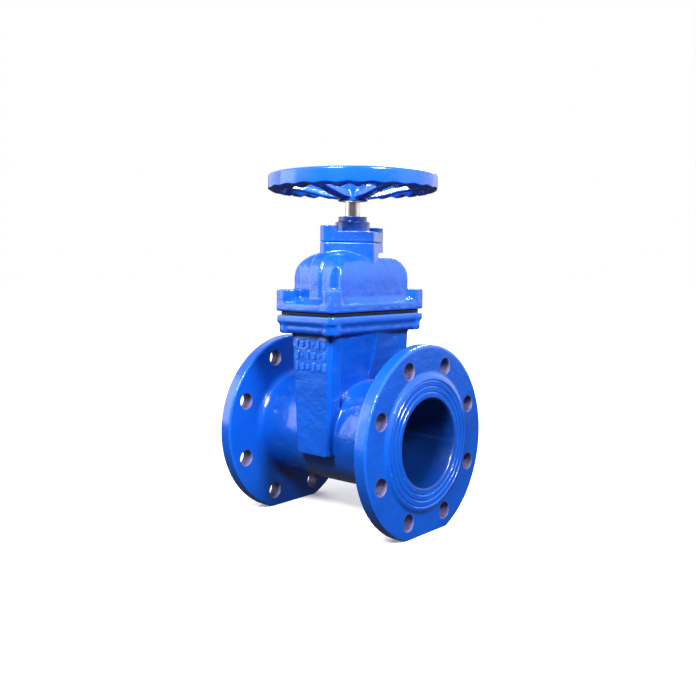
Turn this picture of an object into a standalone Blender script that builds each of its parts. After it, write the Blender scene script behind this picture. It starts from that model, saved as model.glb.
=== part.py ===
"""Resilient-seated flanged gate valve, DN 100, with a handwheel on a non-rising stem.

Metres. +Z runs up the stem, X runs along the bore. The origin lies on the plane of the two flat
feet of the flanges, straight below the stem. The wedge is drawn fully open, clear of the bore.
"""
import math

import bmesh
import bpy
from mathutils import Matrix, Vector

OBJECT_NAME = "gate_valve"
GAP = 0.0003                 # kept between faces that touch
OVERRUN = 0.004              # how far a cutter runs past the face that it opens
SINK = 0.001                 # how far a boss is sunk into the piece that it grows from

# Bore and flanges, PN 16
BORE_Z = 0.102               # bore axis above the feet
BORE_R = 0.050
FACE_TO_FACE = 0.229
FLANGE_R = 0.110
FLANGE_T = 0.019             # raised face included
RAISED_H = 0.003
RAISED_R = 0.078
EDGE = 0.0015                # chamfer on the flange rims
BARREL_R = 0.061
NECK_FILLET = 0.008
BOLT_CIRCLE_R = 0.090
BOLT_HOLE_R = 0.0095
BOLT_COUNT = 8

# Heights above the bore axis
CHAMBER_FOOT = 0.045
BOX_FOOT = -0.019
TIER_FOOT = 0.1210
RIM_FOOT = 0.1323
BODY_TOP = 0.1412
GASKET_SPACE = 0.0042
GASKET_INSET = 0.0035
GASKET_WINDOW_X = 0.0325
GASKET_WINDOW_Y = 0.0600
GASKET_WINDOW_R = 0.010
BONNET_FOOT = BODY_TOP + GASKET_SPACE
BONNET_RIM = 0.0092
BOSS_TOP = 0.1707
DOME_SPRING = 0.182
DOME_TOP = 0.2140
PAD_TOP = 0.2258
GLAND_PLATE_TOP = 0.2387
LUG_TOP = 0.2450
NECK_STEP = 0.2504
NECK_TOP = 0.2568
HUB_FOOT = 0.2752
HUB_TOP = 0.2970
RIM_LOW = 0.2880

# Square flanges of body and bonnet, half sizes
RIM_X = 0.0442
RIM_Y = 0.0858
TIER_INSET = 0.0022
RIM_CORNER_R = 0.005
SCREW_X = 0.033
SCREW_Y = 0.074
CORNER_BOSS_R = 0.0115
BODY_LUG_R = 0.0110
BODY_SCREW_DEPTH = 0.015

# Wedge chamber, half sizes
CHAMBER_Y = 0.062
BOX_INNER_Y = 0.052
BOX_TOP_X = 0.0315
BOX_FOOT_X = 0.0235
BOX_TOP_Y = 0.0732
BOX_FOOT_Y = 0.0700
BOX_CHAMFER = 0.0030
WALL = 0.0065
# height, half width at the middle rib, half width at the guide boxes
CHAMBER_LEVELS = (
    (0.045, 0.0165, 0.0185),
    (0.062, 0.0227, 0.0225),
    (0.075, 0.0278, 0.0255),
    (0.087, 0.0318, 0.0275),
    (0.101, 0.0350, 0.0290),
    (0.123, 0.0385, 0.0300),
)

# Bonnet
DOME_X = 0.037
DOME_Y = 0.066
DOME_CORNER_R = 0.0055
DOME_CORNER_GROWTH = 0.15    # of the draw-in, added to the corner radius towards the crown
DOME_ROUND = 0.024
DOME_STEPS = 6
RIB_HALF = 0.008
RIB_PROUD = 0.0022
RIB_ROOT = 0.020
RIB_CROWN = 0.030
SKIRT_X = 0.005
SKIRT_Y = 0.009
SKIRT_LIP = 0.0012
SKIRT_H = 0.0060
LUG_Y = 0.042
LUG_R = 0.0107
PAD_X = 0.033
PAD_NOSE_R = 0.004
THRUST_R = 0.019
THRUST_FLOOR = 0.2188
BACK_SEAL_FOOT = 0.2105
BACK_SEAL_TOP = 0.2142
BACK_SEAL_R = 0.0145
PAD_FOOT = 0.190             # sunk into the dome
PAD_HOLE_FLOOR = 0.2115
POCKET_R = 0.0120
POCKET_TOP = 0.2130
GLAND_GROOVE_HALF = 0.0018
GLAND_GROOVE_DEPTH = 0.0027

# Gland
NECK_LOW_R = 0.0207
NECK_HIGH_R = 0.0172
THRUST_ROOF = 0.2334
O_RING_R = 0.00135
O_RING_HEIGHTS = (0.2403, 0.2473)
GLAND_RING_R = 0.0225
GLAND_RING_T = 0.0012
RING_SIDES = 6
PLATE_SLIP = 0.0002
WIPER_R = 0.0140
WIPER_FOOT = 0.2533

# Stem
STEM_R = 0.0090
THREAD_R = 0.0097
SHANK_R = 0.0110
COLLAR_R = 0.0170
COLLAR_FOOT = 0.2228
COLLAR_TOP = 0.2298
STEM_FOOT = 0.059
THREAD_END = 0.198
STEM_TOP = 0.2950
SQUARE = 0.0130
TAPPED_DEPTH = 0.018

# Wedge, heights while it is shut; drawn TRAVEL higher
TRAVEL = 0.100
WEDGE_X = 0.0152
WEDGE_R = 0.0496
CORE_INSET = 0.0012
RUBBER_T = 0.0043
RUBBER_TOP = 0.040
HEAD_Y = 0.026
HEAD_FOOT = 0.044
HEAD_TOP = 0.086
SHOULDER = 0.052
HOLLOW_FLOOR = -0.042
NUT_Y = 0.016
NUT_FOOT = 0.0583
NUT_TOP = 0.0787
NUT_INSET = 0.0005
THREAD_ROOM = 0.001
LUG_FOOT = -0.005
LUG_HEAD = 0.0355
LUG_HALF_X = 0.0055
LUG_REACH = 0.0610
SHOE_WALL = 0.0014
SHOE_REACH = 0.0655
SHOE_INNER = 0.0520
CHANNEL_X = 0.0077
CHANNEL_Y = 0.0663
CHANNEL_FLOOR = -0.009
CAVITY_Y = 0.0505
SEAT_X = 0.0158

# Fasteners
M10_R = 0.0047
M10_HEAD_R = 0.0080
M10_HEAD_H = 0.0100
M10_KEY_R = 0.0046
M10_DEPTH = 0.0142
M8_R = 0.0037
M8_HEAD_R = 0.0063
M8_HEAD_H = 0.0080
M8_KEY_R = 0.0036
SEAL_H = 0.0025
SEAL_CROWN = 0.6             # share of the radius that stays flat

# Handwheel
WHEEL_R = 0.1012
SCALLOPS = 24
SCALLOP_DEPTH = 0.0032
STEPS_PER_SCALLOP = 3
SPOKES = 5
SPOKE_START = math.radians(-13.5)
SPOKE_T = 0.0085
HUB_R = 0.0180
# distance from the axis, height of the underside above the bore axis, half width
SPOKE_STATIONS = (
    (0.0120, 0.2767, 0.0090),
    (0.0340, 0.2802, 0.0080),
    (0.0580, 0.2867, 0.0070),
    (0.0862, 0.2915, 0.0090),
)
# share of the half width, height above the underside
SPOKE_SECTION = ((-1.0, 0.002), (-0.6, 0.0), (0.6, 0.0), (1.0, 0.002), (0.8, SPOKE_T), (-0.8, SPOKE_T))
# one slice of the rim: in from the outside, up from RIM_LOW, share of the scallop that it hangs down
RIM_SLICE = (
    (0.0190, 0.0055, 0.0),
    (0.0160, 0.0008, 1.0),
    (0.0100, 0.0000, 1.0),
    (0.0035, 0.0000, 0.5),
    (0.0008, 0.0012, 0.0),
    (0.0000, 0.0035, 0.0),
    (0.0000, 0.0157, 0.0),
    (0.0010, 0.0177, 0.0),
    (0.0032, 0.0185, 0.0),
    (0.0140, 0.0185, 0.0),
    (0.0190, 0.0125, 0.0),
)
WASHER_HOLE_R = 0.0043
WASHER_R = 0.0120
WASHER_T = 0.0020
HEX_R = 0.0072
HEX_HALF = 0.0065            # axis to flat
HEX_H = 0.0065
HEX_BOLT_DEPTH = 0.0160
FLAT_REACH = 0.0120
FLAT_WIDTH = 0.010

ROUND = 48                   # sides of the bore and flanges
MEDIUM = 28                  # sides of the stem and neck
BOSS_SIDES = 24              # sides of the corner bosses, their hollows and the hexagon head
NUT_SIDES = 32               # sides of the wedge's hollow and the nut's thread
SMALL = 16                   # sides of screws and their holes


# ---------------------------------------------------------------- scene and materials
def clear_scene():
    for item in list(bpy.data.objects):
        bpy.data.objects.remove(item, do_unlink=True)


def new_collection(name):
    collection = bpy.data.collections.new(name)
    bpy.context.scene.collection.children.link(collection)
    return collection


def make_material(name, colour, roughness, metallic=0.0):
    material = bpy.data.materials.new(name)
    material.use_nodes = True
    shader = material.node_tree.nodes["Principled BSDF"]
    shader.inputs["Base Color"].default_value = (*colour, 1.0)
    shader.inputs["Roughness"].default_value = roughness
    shader.inputs["Metallic"].default_value = metallic
    material.diffuse_color = (*colour, 1.0)
    return material


clear_scene()
PARTS = new_collection(OBJECT_NAME)
CUTTERS = new_collection(OBJECT_NAME + "_cutters")

BLUE_EPOXY = make_material("blue_epoxy", (0.010, 0.085, 0.640), 0.28)
WHEEL_ENAMEL = make_material("wheel_enamel", (0.012, 0.110, 0.720), 0.30)
BLACK_RUBBER = make_material("black_rubber", (0.012, 0.012, 0.013), 0.75)
STAINLESS = make_material("stainless", (0.62, 0.60, 0.56), 0.22, 1.0)
BRASS = make_material("brass", (0.72, 0.52, 0.22), 0.32, 1.0)
NYLON = make_material("nylon", (0.86, 0.84, 0.76), 0.50)
ZINC_STEEL = make_material("zinc_steel", (0.55, 0.56, 0.58), 0.35, 1.0)
SEAL_WAX = make_material("seal_wax", (0.020, 0.120, 0.600), 0.55)


# ---------------------------------------------------------------- making shapes
def smooth(mesh):
    mesh.shade_smooth()
    mesh.set_sharp_from_angle(angle=math.radians(35.0))


def add_object(name, mesh, home):
    item = bpy.data.objects.new(name, mesh)
    home.objects.link(item)
    if home is CUTTERS:
        item.hide_render = True
        item.display_type = "WIRE"
    return item


def from_bmesh(name, bm, home):
    bmesh.ops.recalc_face_normals(bm, faces=bm.faces)
    mesh = bpy.data.meshes.new(name)
    bm.to_mesh(mesh)
    bm.free()
    smooth(mesh)
    return add_object(name, mesh, home)


def add_box(bm, low, high):
    size = [high[i] - low[i] for i in range(3)]
    centre = [(high[i] + low[i]) / 2 for i in range(3)]
    matrix = Matrix.Translation(centre) @ Matrix.Diagonal((*size, 1.0))
    return bmesh.ops.create_cube(bm, size=1.0, matrix=matrix)["verts"]


def add_cylinder(bm, radius, low, high, x=0.0, y=0.0, sides=SMALL):
    matrix = Matrix.Translation((x, y, (low + high) / 2))
    bmesh.ops.create_cone(bm, cap_ends=True, segments=sides, radius1=radius, radius2=radius,
                          depth=high - low, matrix=matrix)


def add_bore_cylinder(bm, radius, low, high, y=0.0, z=0.0, sides=SMALL):
    """A cylinder along X, placed from the bore axis."""
    matrix = Matrix.Translation(((low + high) / 2, y, BORE_Z + z)) @ Matrix.Rotation(math.pi / 2, 4, "Y")
    bmesh.ops.create_cone(bm, cap_ends=True, segments=sides, radius1=radius, radius2=radius,
                          depth=high - low, matrix=matrix)


def boxes(name, corners, home):
    bm = bmesh.new()
    for low, high in corners:
        add_box(bm, low, high)
    return from_bmesh(name, bm, home)


def cylinders(name, radius, low, high, places, home, sides=SMALL):
    bm = bmesh.new()
    for x, y in places:
        add_cylinder(bm, radius, low, high, x, y, sides)
    return from_bmesh(name, bm, home)


def turned(name, profile, home, sides=MEDIUM, closed=False):
    """A profile of (radius, height) points, listed down the outer side, spun round Z."""
    mesh = bpy.data.meshes.new(name)
    points = [(radius, 0.0, height) for radius, height in profile]
    edges = [(i, i + 1) for i in range(len(points) - 1)]
    if closed:
        edges.append((len(points) - 1, 0))
    mesh.from_pydata(points, edges, [])
    item = add_object(name, mesh, home)
    screw = item.modifiers.new("spin", "SCREW")
    screw.axis = "Z"
    screw.steps = sides
    screw.render_steps = sides
    screw.use_merge_vertices = True
    screw.merge_threshold = 0.00001
    screw.use_smooth_shade = True
    return item


def plate(name, outline, low, high, home):
    """A flat outline in X and Y, given thickness from height low to height high."""
    curve = bpy.data.curves.new(name + "_outline", "CURVE")
    curve.dimensions = "2D"
    curve.fill_mode = "BOTH"
    curve.extrude = (high - low) / 2
    spline = curve.splines.new("POLY")
    spline.points.add(len(outline) - 1)
    for point, (x, y) in zip(spline.points, outline):
        point.co = (x, y, 0.0, 1.0)
    spline.use_cyclic_u = True
    guide = bpy.data.objects.new(name + "_outline", curve)
    guide.location = (0.0, 0.0, (low + high) / 2)
    PARTS.objects.link(guide)
    graph = bpy.context.evaluated_depsgraph_get()
    mesh = bpy.data.meshes.new_from_object(guide.evaluated_get(graph))
    bm = bmesh.new()
    bm.from_mesh(mesh)
    bmesh.ops.remove_doubles(bm, verts=bm.verts, dist=0.00001)
    bmesh.ops.recalc_face_normals(bm, faces=bm.faces)
    bm.to_mesh(mesh)
    bm.free()
    smooth(mesh)
    item = add_object(name, mesh, home)
    item.matrix_world = guide.matrix_world.copy()
    bpy.data.objects.remove(guide, do_unlink=True)
    item.location = (0.0, 0.0, (low + high) / 2)
    return item


def loft(name, rings, home):
    """A solid through rings of points, each ring a list of (x, y, z), bottom ring first."""
    bm = bmesh.new()
    levels = [[bm.verts.new(point) for point in ring] for ring in rings]
    count = len(levels[0])
    for lower, upper in zip(levels, levels[1:]):
        for i in range(count):
            j = (i + 1) % count
            bm.faces.new((lower[i], lower[j], upper[j], upper[i]))
    bm.faces.new(list(reversed(levels[0])))
    bm.faces.new(levels[-1])
    return from_bmesh(name, bm, home)


def boolean(target, tool, operation):
    modifier = target.modifiers.new(tool.name, "BOOLEAN")
    modifier.operation = operation
    modifier.solver = "EXACT"
    modifier.object = tool


def cut(target, tool):
    boolean(target, tool, "DIFFERENCE")


def join(target, tool):
    boolean(target, tool, "UNION")


def finish(item, material):
    item.data.materials.clear()
    item.data.materials.append(material)
    return item


def up(height):
    """A height above the bore axis as a height above the feet."""
    return BORE_Z + height


# ---------------------------------------------------------------- outlines
def arc(centre_x, centre_y, radius, start, end, steps):
    points = []
    for i in range(steps + 1):
        angle = math.radians(start + (end - start) * i / steps)
        points.append((centre_x + radius * math.cos(angle), centre_y + radius * math.sin(angle)))
    return points


def rounded_rectangle(half_x, half_y, radius, steps=3):
    points = []
    for sign_x, sign_y, start in ((1, 1, 0), (-1, 1, 90), (-1, -1, 180), (1, -1, 270)):
        points += arc(sign_x * (half_x - radius), sign_y * (half_y - radius), radius,
                      start, start + 90, steps)
    return points


def rhombus(lug_r, half_x, nose_r):
    """Two round lugs on the Y axis, joined by straight flanks to a blunt nose on the X axis."""
    run = math.hypot(half_x - nose_r, LUG_Y)
    lean = math.degrees(math.atan2(LUG_Y, half_x - nose_r))
    turn = lean - math.degrees(math.asin((lug_r - nose_r) / run))
    flank = 90.0 - turn
    points = arc(half_x - nose_r, 0.0, nose_r, -flank, flank, 4)
    points += arc(0.0, LUG_Y, lug_r, flank, 180 - flank, 8)
    points += arc(-(half_x - nose_r), 0.0, nose_r, 180 - flank, 180 + flank, 4)
    points += arc(0.0, -LUG_Y, lug_r, 180 + flank, 360 - flank, 8)
    return points


def corners(x, y):
    return [(x, y), (-x, y), (-x, -y), (x, -y)]


# ---------------------------------------------------------------- body casting
def barrel_profile():
    """Radius and distance along the bore, from the +X raised face to the -X one."""
    half = FACE_TO_FACE / 2
    back = half - FLANGE_T
    side = [
        (0.0, half),
        (RAISED_R, half),
        (RAISED_R + RAISED_H / 2, half - RAISED_H),
        (FLANGE_R - EDGE, half - RAISED_H),
        (FLANGE_R, half - RAISED_H - EDGE),
        (FLANGE_R, back + EDGE),
        (FLANGE_R - EDGE, back),
    ]
    fillet = arc(BARREL_R + NECK_FILLET, back - NECK_FILLET, NECK_FILLET, 90, 180, 3)
    side += fillet
    return side + [(radius, -along) for radius, along in reversed(side)]


def chamber(name, inset, foot, top, half_y, home):
    """The swelling between the guide boxes: six sides, widest at the rib on the bore's plane."""
    rings = []
    for height, middle, ends in CHAMBER_LEVELS:
        level = min(max(height, foot), top)
        x_mid = max(middle - inset, SEAT_X) if inset else middle
        x_end = max(ends - inset, SEAT_X) if inset else ends
        ring = [(x_mid, 0.0), (x_end, half_y), (-x_end, half_y),
                (-x_mid, 0.0), (-x_end, -half_y), (x_end, -half_y)]
        rings.append([(x, y, up(level)) for x, y in ring])
    if top > CHAMBER_LEVELS[-1][0]:
        rings.append([(x, y, up(top)) for x, y, z in rings[-1]])
    if foot < CHAMBER_LEVELS[0][0]:
        rings.insert(0, [(x, y, up(foot)) for x, y, z in rings[0]])
    return loft(name, rings, home)


def guide_boxes():
    """The two upright housings of the wedge's guides, tapered, with chamfered outer edges."""
    bm = bmesh.new()
    levels = ((BOX_FOOT, BOX_FOOT_X, BOX_FOOT_Y), (TIER_FOOT + 2 * SINK, BOX_TOP_X, BOX_TOP_Y))
    for side in (1, -1):
        rings = []
        for height, half_x, reach in levels:
            outline = [(-half_x, BOX_INNER_Y), (half_x, BOX_INNER_Y), (half_x, reach - BOX_CHAMFER),
                       (half_x - BOX_CHAMFER, reach), (BOX_CHAMFER - half_x, reach),
                       (-half_x, reach - BOX_CHAMFER)]
            rings.append([bm.verts.new((x, side * y, up(height))) for x, y in outline])
        lower, upper = rings
        count = len(lower)
        for i in range(count):
            j = (i + 1) % count
            bm.faces.new((lower[i], lower[j], upper[j], upper[i]))
        bm.faces.new(lower)
        bm.faces.new(upper)
    return from_bmesh("guide_boxes", bm, CUTTERS)


def body_rim():
    return plate("body_rim", rounded_rectangle(RIM_X, RIM_Y, RIM_CORNER_R),
                 up(RIM_FOOT), up(BODY_TOP), CUTTERS)


def body_tier():
    half_x = RIM_X - TIER_INSET
    half_y = RIM_Y - TIER_INSET
    low = rounded_rectangle(half_x - TIER_INSET, half_y - TIER_INSET, RIM_CORNER_R)
    high = rounded_rectangle(half_x, half_y, RIM_CORNER_R)
    rings = [[(x, y, up(TIER_FOOT)) for x, y in low],
             [(x, y, up(TIER_FOOT) + TIER_INSET) for x, y in high],
             [(x, y, up(RIM_FOOT) + SINK) for x, y in high]]
    return loft("body_tier", rings, CUTTERS)


def flange_bolt_holes():
    bm = bmesh.new()
    outer = FACE_TO_FACE / 2 + OVERRUN
    inner = FACE_TO_FACE / 2 - FLANGE_T - OVERRUN
    for i in range(BOLT_COUNT):
        angle = (i + 0.5) * 2 * math.pi / BOLT_COUNT
        y = BOLT_CIRCLE_R * math.cos(angle)
        z = BOLT_CIRCLE_R * math.sin(angle)
        add_bore_cylinder(bm, BOLT_HOLE_R, inner, outer, y, z)
        add_bore_cylinder(bm, BOLT_HOLE_R, -outer, -inner, y, z)
    return from_bmesh("flange_bolt_holes", bm, CUTTERS)


def bore_cutter():
    bm = bmesh.new()
    reach = FACE_TO_FACE / 2 + OVERRUN
    add_bore_cylinder(bm, BORE_R, -reach, reach, sides=ROUND)
    return from_bmesh("bore_cutter", bm, CUTTERS)


def feet_cutter():
    reach = FACE_TO_FACE
    return boxes("feet_cutter", [((-reach, -reach, -FLANGE_R), (reach, reach, 0.0))], CUTTERS)


def guide_channels():
    """Grooves beside the cavity that the wedge's shoes slide in."""
    channels = []
    top = up(BODY_TOP) + 2 * OVERRUN
    for side in (1, -1):
        near, far = sorted((side * (CAVITY_Y - 2 * OVERRUN), side * CHANNEL_Y))
        channels.append(((-CHANNEL_X, near, up(CHANNEL_FLOOR)), (CHANNEL_X, far, top)))
    return boxes("guide_channels", channels, CUTTERS)


def make_body():
    body = turned("body", barrel_profile(), PARTS, sides=ROUND)
    body.location = (0.0, 0.0, BORE_Z)
    body.rotation_euler = (0.0, math.pi / 2, 0.0)
    join(body, chamber("chamber_shell", 0.0, CHAMBER_FOOT, TIER_FOOT + SINK, CHAMBER_Y, CUTTERS))
    join(body, guide_boxes())
    join(body, body_tier())
    join(body, body_rim())
    screws = corners(SCREW_X, SCREW_Y)
    join(body, cylinders("body_lugs", BODY_LUG_R, up(TIER_FOOT) - SINK / 2, up(RIM_FOOT) + SINK / 2,
                         screws, CUTTERS, BOSS_SIDES))
    cut(body, bore_cutter())
    cut(body, chamber("wedge_cavity", WALL, 0.0, BODY_TOP + OVERRUN, CAVITY_Y, CUTTERS))
    cut(body, guide_channels())
    cut(body, flange_bolt_holes())
    cut(body, feet_cutter())
    cut(body, cylinders("body_screw_holes", M10_R + GAP, up(BODY_TOP) - BODY_SCREW_DEPTH,
                        up(BODY_TOP) + OVERRUN, screws, CUTTERS))
    return finish(body, BLUE_EPOXY)


# ---------------------------------------------------------------- bonnet
def dome(name, inset, foot, home):
    """Upright walls to the spring line, then a quarter round inwards to the crown."""
    half_x = DOME_X - inset
    half_y = DOME_Y - inset
    rise = DOME_TOP - DOME_SPRING - inset
    rings = [rounded_rectangle(half_x, half_y, DOME_CORNER_R)]
    heights = [foot]
    for i in range(DOME_STEPS + 1):
        angle = math.pi / 2 * i / DOME_STEPS
        draw_in = DOME_ROUND * (1 - math.cos(angle))
        radius = min(DOME_CORNER_R + draw_in * DOME_CORNER_GROWTH, half_x - draw_in - SINK)
        rings.append(rounded_rectangle(half_x - draw_in, half_y - draw_in, radius))
        heights.append(DOME_SPRING + rise * math.sin(angle))
    levels = [[(x, y, up(height)) for x, y in ring] for ring, height in zip(rings, heights)]
    return loft(name, levels, home)


def dome_ribs():
    """A flat band up the middle of each long end of the dome, over the wedge's guides."""
    bm = bmesh.new()
    reach = DOME_Y + RIB_PROUD
    for side in (1, -1):
        profile = [(reach - RIB_ROOT, BONNET_FOOT + SINK), (reach, BONNET_FOOT + SINK)]
        for i in range(DOME_STEPS + 1):
            angle = math.pi / 2 * i / DOME_STEPS
            profile.append((reach - DOME_ROUND * (1 - math.cos(angle)),
                            DOME_SPRING + (DOME_TOP - DOME_SPRING) * math.sin(angle)))
        profile.append((reach - RIB_CROWN, DOME_TOP - SINK))
        left = [bm.verts.new((-RIB_HALF, side * y, up(z))) for y, z in profile]
        right = [bm.verts.new((RIB_HALF, side * y, up(z))) for y, z in profile]
        count = len(profile)
        for i in range(count):
            j = (i + 1) % count
            bm.faces.new((left[i], left[j], right[j], right[i]))
        bm.faces.new(left)
        bm.faces.new(right)
    return from_bmesh("dome_ribs", bm, CUTTERS)


def bonnet_skirt():
    """The sloping fillet between the dome and its square flange."""
    low = rounded_rectangle(DOME_X + SKIRT_X, DOME_Y + SKIRT_Y, DOME_CORNER_R)
    high = rounded_rectangle(DOME_X, DOME_Y, DOME_CORNER_R)
    foot = up(BONNET_FOOT + BONNET_RIM)
    rings = [[(x, y, foot - SINK) for x, y in low],
             [(x, y, foot + SKIRT_LIP) for x, y in low],
             [(x, y, foot + SKIRT_H) for x, y in high]]
    return loft("bonnet_skirt", rings, CUTTERS)


def corner_bosses():
    """Round bosses over the screws."""
    return cylinders("corner_bosses", CORNER_BOSS_R, up(BONNET_FOOT) + SINK, up(BOSS_TOP),
                     corners(SCREW_X, SCREW_Y), CUTTERS, BOSS_SIDES)


def boss_corner_blocks():
    """Blocks that square the bosses off to the flange's outer corners."""
    blocks = []
    reach_x = RIM_X - EDGE / 2
    reach_y = RIM_Y - EDGE / 2
    for x, y in corners(1, 1):
        xs = sorted((x * SCREW_X, x * reach_x))
        ys = sorted((y * SCREW_Y, y * reach_y))
        blocks.append(((xs[0], ys[0], up(BONNET_FOOT) + SINK), (xs[1], ys[1], up(BOSS_TOP) - SINK)))
    return boxes("boss_corner_blocks", blocks, CUTTERS)


def wrench_pockets():
    """Upright hollows over the bosses that let a key reach the screws."""
    return cylinders("wrench_pockets", POCKET_R, up(BOSS_TOP) + SINK / 2, up(POCKET_TOP),
                     corners(SCREW_X, SCREW_Y), CUTTERS, BOSS_SIDES)


def make_bonnet():
    bonnet = plate("bonnet", rounded_rectangle(RIM_X, RIM_Y, RIM_CORNER_R),
                   up(BONNET_FOOT), up(BONNET_FOOT + BONNET_RIM), PARTS)
    join(bonnet, dome("dome_shell", 0.0, BONNET_FOOT + SINK, CUTTERS))
    join(bonnet, bonnet_skirt())
    join(bonnet, dome_ribs())
    join(bonnet, plate("bonnet_pad", rhombus(LUG_R, PAD_X, PAD_NOSE_R), up(PAD_FOOT), up(PAD_TOP), CUTTERS))
    join(bonnet, corner_bosses())
    join(bonnet, boss_corner_blocks())
    cut(bonnet, dome("dome_hollow", WALL, BONNET_FOOT - OVERRUN, CUTTERS))
    cut(bonnet, wrench_pockets())
    screws = corners(SCREW_X, SCREW_Y)
    seat = up(BOSS_TOP) - SEAL_H - GAP - M10_HEAD_H - GAP
    cut(bonnet, cylinders("bonnet_screw_holes", M10_R + GAP, up(BONNET_FOOT) - OVERRUN,
                          up(BOSS_TOP) + OVERRUN, screws, CUTTERS))
    cut(bonnet, cylinders("bonnet_counterbores", M10_HEAD_R + GAP, seat, up(BOSS_TOP) + OVERRUN,
                          screws, CUTTERS))
    lugs = [(0.0, LUG_Y), (0.0, -LUG_Y)]
    centre = [(0.0, 0.0)]
    above = up(PAD_TOP) + OVERRUN
    cut(bonnet, cylinders("pad_screw_holes", M8_R + GAP, up(PAD_HOLE_FLOOR), above, lugs, CUTTERS))
    cut(bonnet, cylinders("stem_passage", SHANK_R + GAP, up(PAD_FOOT), above, centre, CUTTERS, MEDIUM))
    cut(bonnet, cylinders("thrust_recess", THRUST_R, up(THRUST_FLOOR), above, centre, CUTTERS, MEDIUM))
    ring_groove = ring_profile(GLAND_RING_R - GLAND_GROOVE_HALF, GLAND_RING_R + GLAND_GROOVE_HALF,
                               up(PAD_TOP) - GLAND_GROOVE_DEPTH, above)
    cut(bonnet, turned("gland_ring_groove", ring_groove, CUTTERS, closed=True))
    seal_groove = ring_profile(SHANK_R - SINK, BACK_SEAL_R, up(BACK_SEAL_FOOT), up(BACK_SEAL_TOP))
    cut(bonnet, turned("back_seal_groove", seal_groove, CUTTERS, closed=True))
    return finish(bonnet, BLUE_EPOXY)


# ---------------------------------------------------------------- gland
def ring_profile(inner, outer, low, high):
    return [(inner, high), (outer, high), (outer, low), (inner, low)]


def make_gland():
    """Rhombic plate with two lugs and a stepped neck that holds the stem's seals."""
    foot = up(PAD_TOP) + GAP
    gland = plate("gland", rhombus(LUG_R - PLATE_SLIP, PAD_X - PLATE_SLIP, PAD_NOSE_R), foot,
                  up(GLAND_PLATE_TOP), PARTS)
    lugs = [(0.0, LUG_Y), (0.0, -LUG_Y)]
    centre = [(0.0, 0.0)]
    join(gland, cylinders("gland_lugs", LUG_R - GAP, foot + SINK, up(LUG_TOP), lugs, CUTTERS, MEDIUM))
    neck = [(0.0, up(NECK_TOP)), (NECK_HIGH_R - EDGE, up(NECK_TOP)), (NECK_HIGH_R, up(NECK_TOP) - EDGE),
            (NECK_HIGH_R, up(NECK_STEP)), (NECK_LOW_R - EDGE, up(NECK_STEP)),
            (NECK_LOW_R, up(NECK_STEP) - EDGE), (NECK_LOW_R, foot + SINK), (0.0, foot + SINK)]
    join(gland, turned("gland_neck", neck, CUTTERS))
    below = foot - OVERRUN
    above = up(NECK_TOP) + OVERRUN
    cut(gland, cylinders("gland_bore", STEM_R + GAP, below, above, centre, CUTTERS, MEDIUM))
    cut(gland, cylinders("gland_thrust_recess", THRUST_R, below, up(THRUST_ROOF), centre, CUTTERS, MEDIUM))
    for number, height in enumerate(O_RING_HEIGHTS, start=1):
        reach = STEM_R + 2 * O_RING_R + 2 * GAP
        half = O_RING_R + GAP
        groove = ring_profile(STEM_R - SINK, reach, up(height) - half, up(height) + half)
        cut(gland, turned("o_ring_groove_%d" % number, groove, CUTTERS, closed=True))
    cut(gland, cylinders("wiper_recess", WIPER_R + GAP, up(WIPER_FOOT) - GAP, above, centre, CUTTERS, MEDIUM))
    seat = up(LUG_TOP) - SEAL_H - GAP - M8_HEAD_H - GAP
    lug_top = up(LUG_TOP) + OVERRUN
    cut(gland, cylinders("gland_screw_holes", M8_R + GAP, below, lug_top, lugs, CUTTERS))
    cut(gland, cylinders("gland_counterbores", M8_HEAD_R + GAP, seat, lug_top, lugs, CUTTERS))
    return finish(gland, BLUE_EPOXY)


# ---------------------------------------------------------------- seals and washers
def make_gasket():
    low = up(BODY_TOP) + GAP
    high = up(BONNET_FOOT) - GAP
    outline = rounded_rectangle(RIM_X - GASKET_INSET, RIM_Y - GASKET_INSET, RIM_CORNER_R)
    window = rounded_rectangle(GASKET_WINDOW_X, GASKET_WINDOW_Y, GASKET_WINDOW_R)
    gasket = plate("bonnet_gasket", outline, low, high, PARTS)
    cut(gasket, plate("gasket_opening", window, low - OVERRUN, high + OVERRUN, CUTTERS))
    cut(gasket, cylinders("gasket_screw_holes", M10_R + GAP, low - OVERRUN, high + OVERRUN,
                          corners(SCREW_X, SCREW_Y), CUTTERS))
    return finish(gasket, BLACK_RUBBER)


def o_ring(name, radius, thickness, height, material):
    bm = bmesh.new()
    loops = []
    for i in range(MEDIUM):
        turn = 2 * math.pi * i / MEDIUM
        loop = []
        for k in range(RING_SIDES):
            across = 2 * math.pi * k / RING_SIDES
            out = radius + thickness * math.cos(across)
            loop.append(bm.verts.new((out * math.cos(turn), out * math.sin(turn),
                                      height + thickness * math.sin(across))))
        loops.append(loop)
    for i in range(MEDIUM):
        here = loops[i]
        there = loops[(i + 1) % MEDIUM]
        for k in range(RING_SIDES):
            n = (k + 1) % RING_SIDES
            bm.faces.new((here[k], there[k], there[n], here[n]))
    return finish(from_bmesh(name, bm, PARTS), material)


def washer(name, inner, outer, low, high, material):
    return finish(turned(name, ring_profile(inner, outer, low, high), PARTS, closed=True), material)


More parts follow.
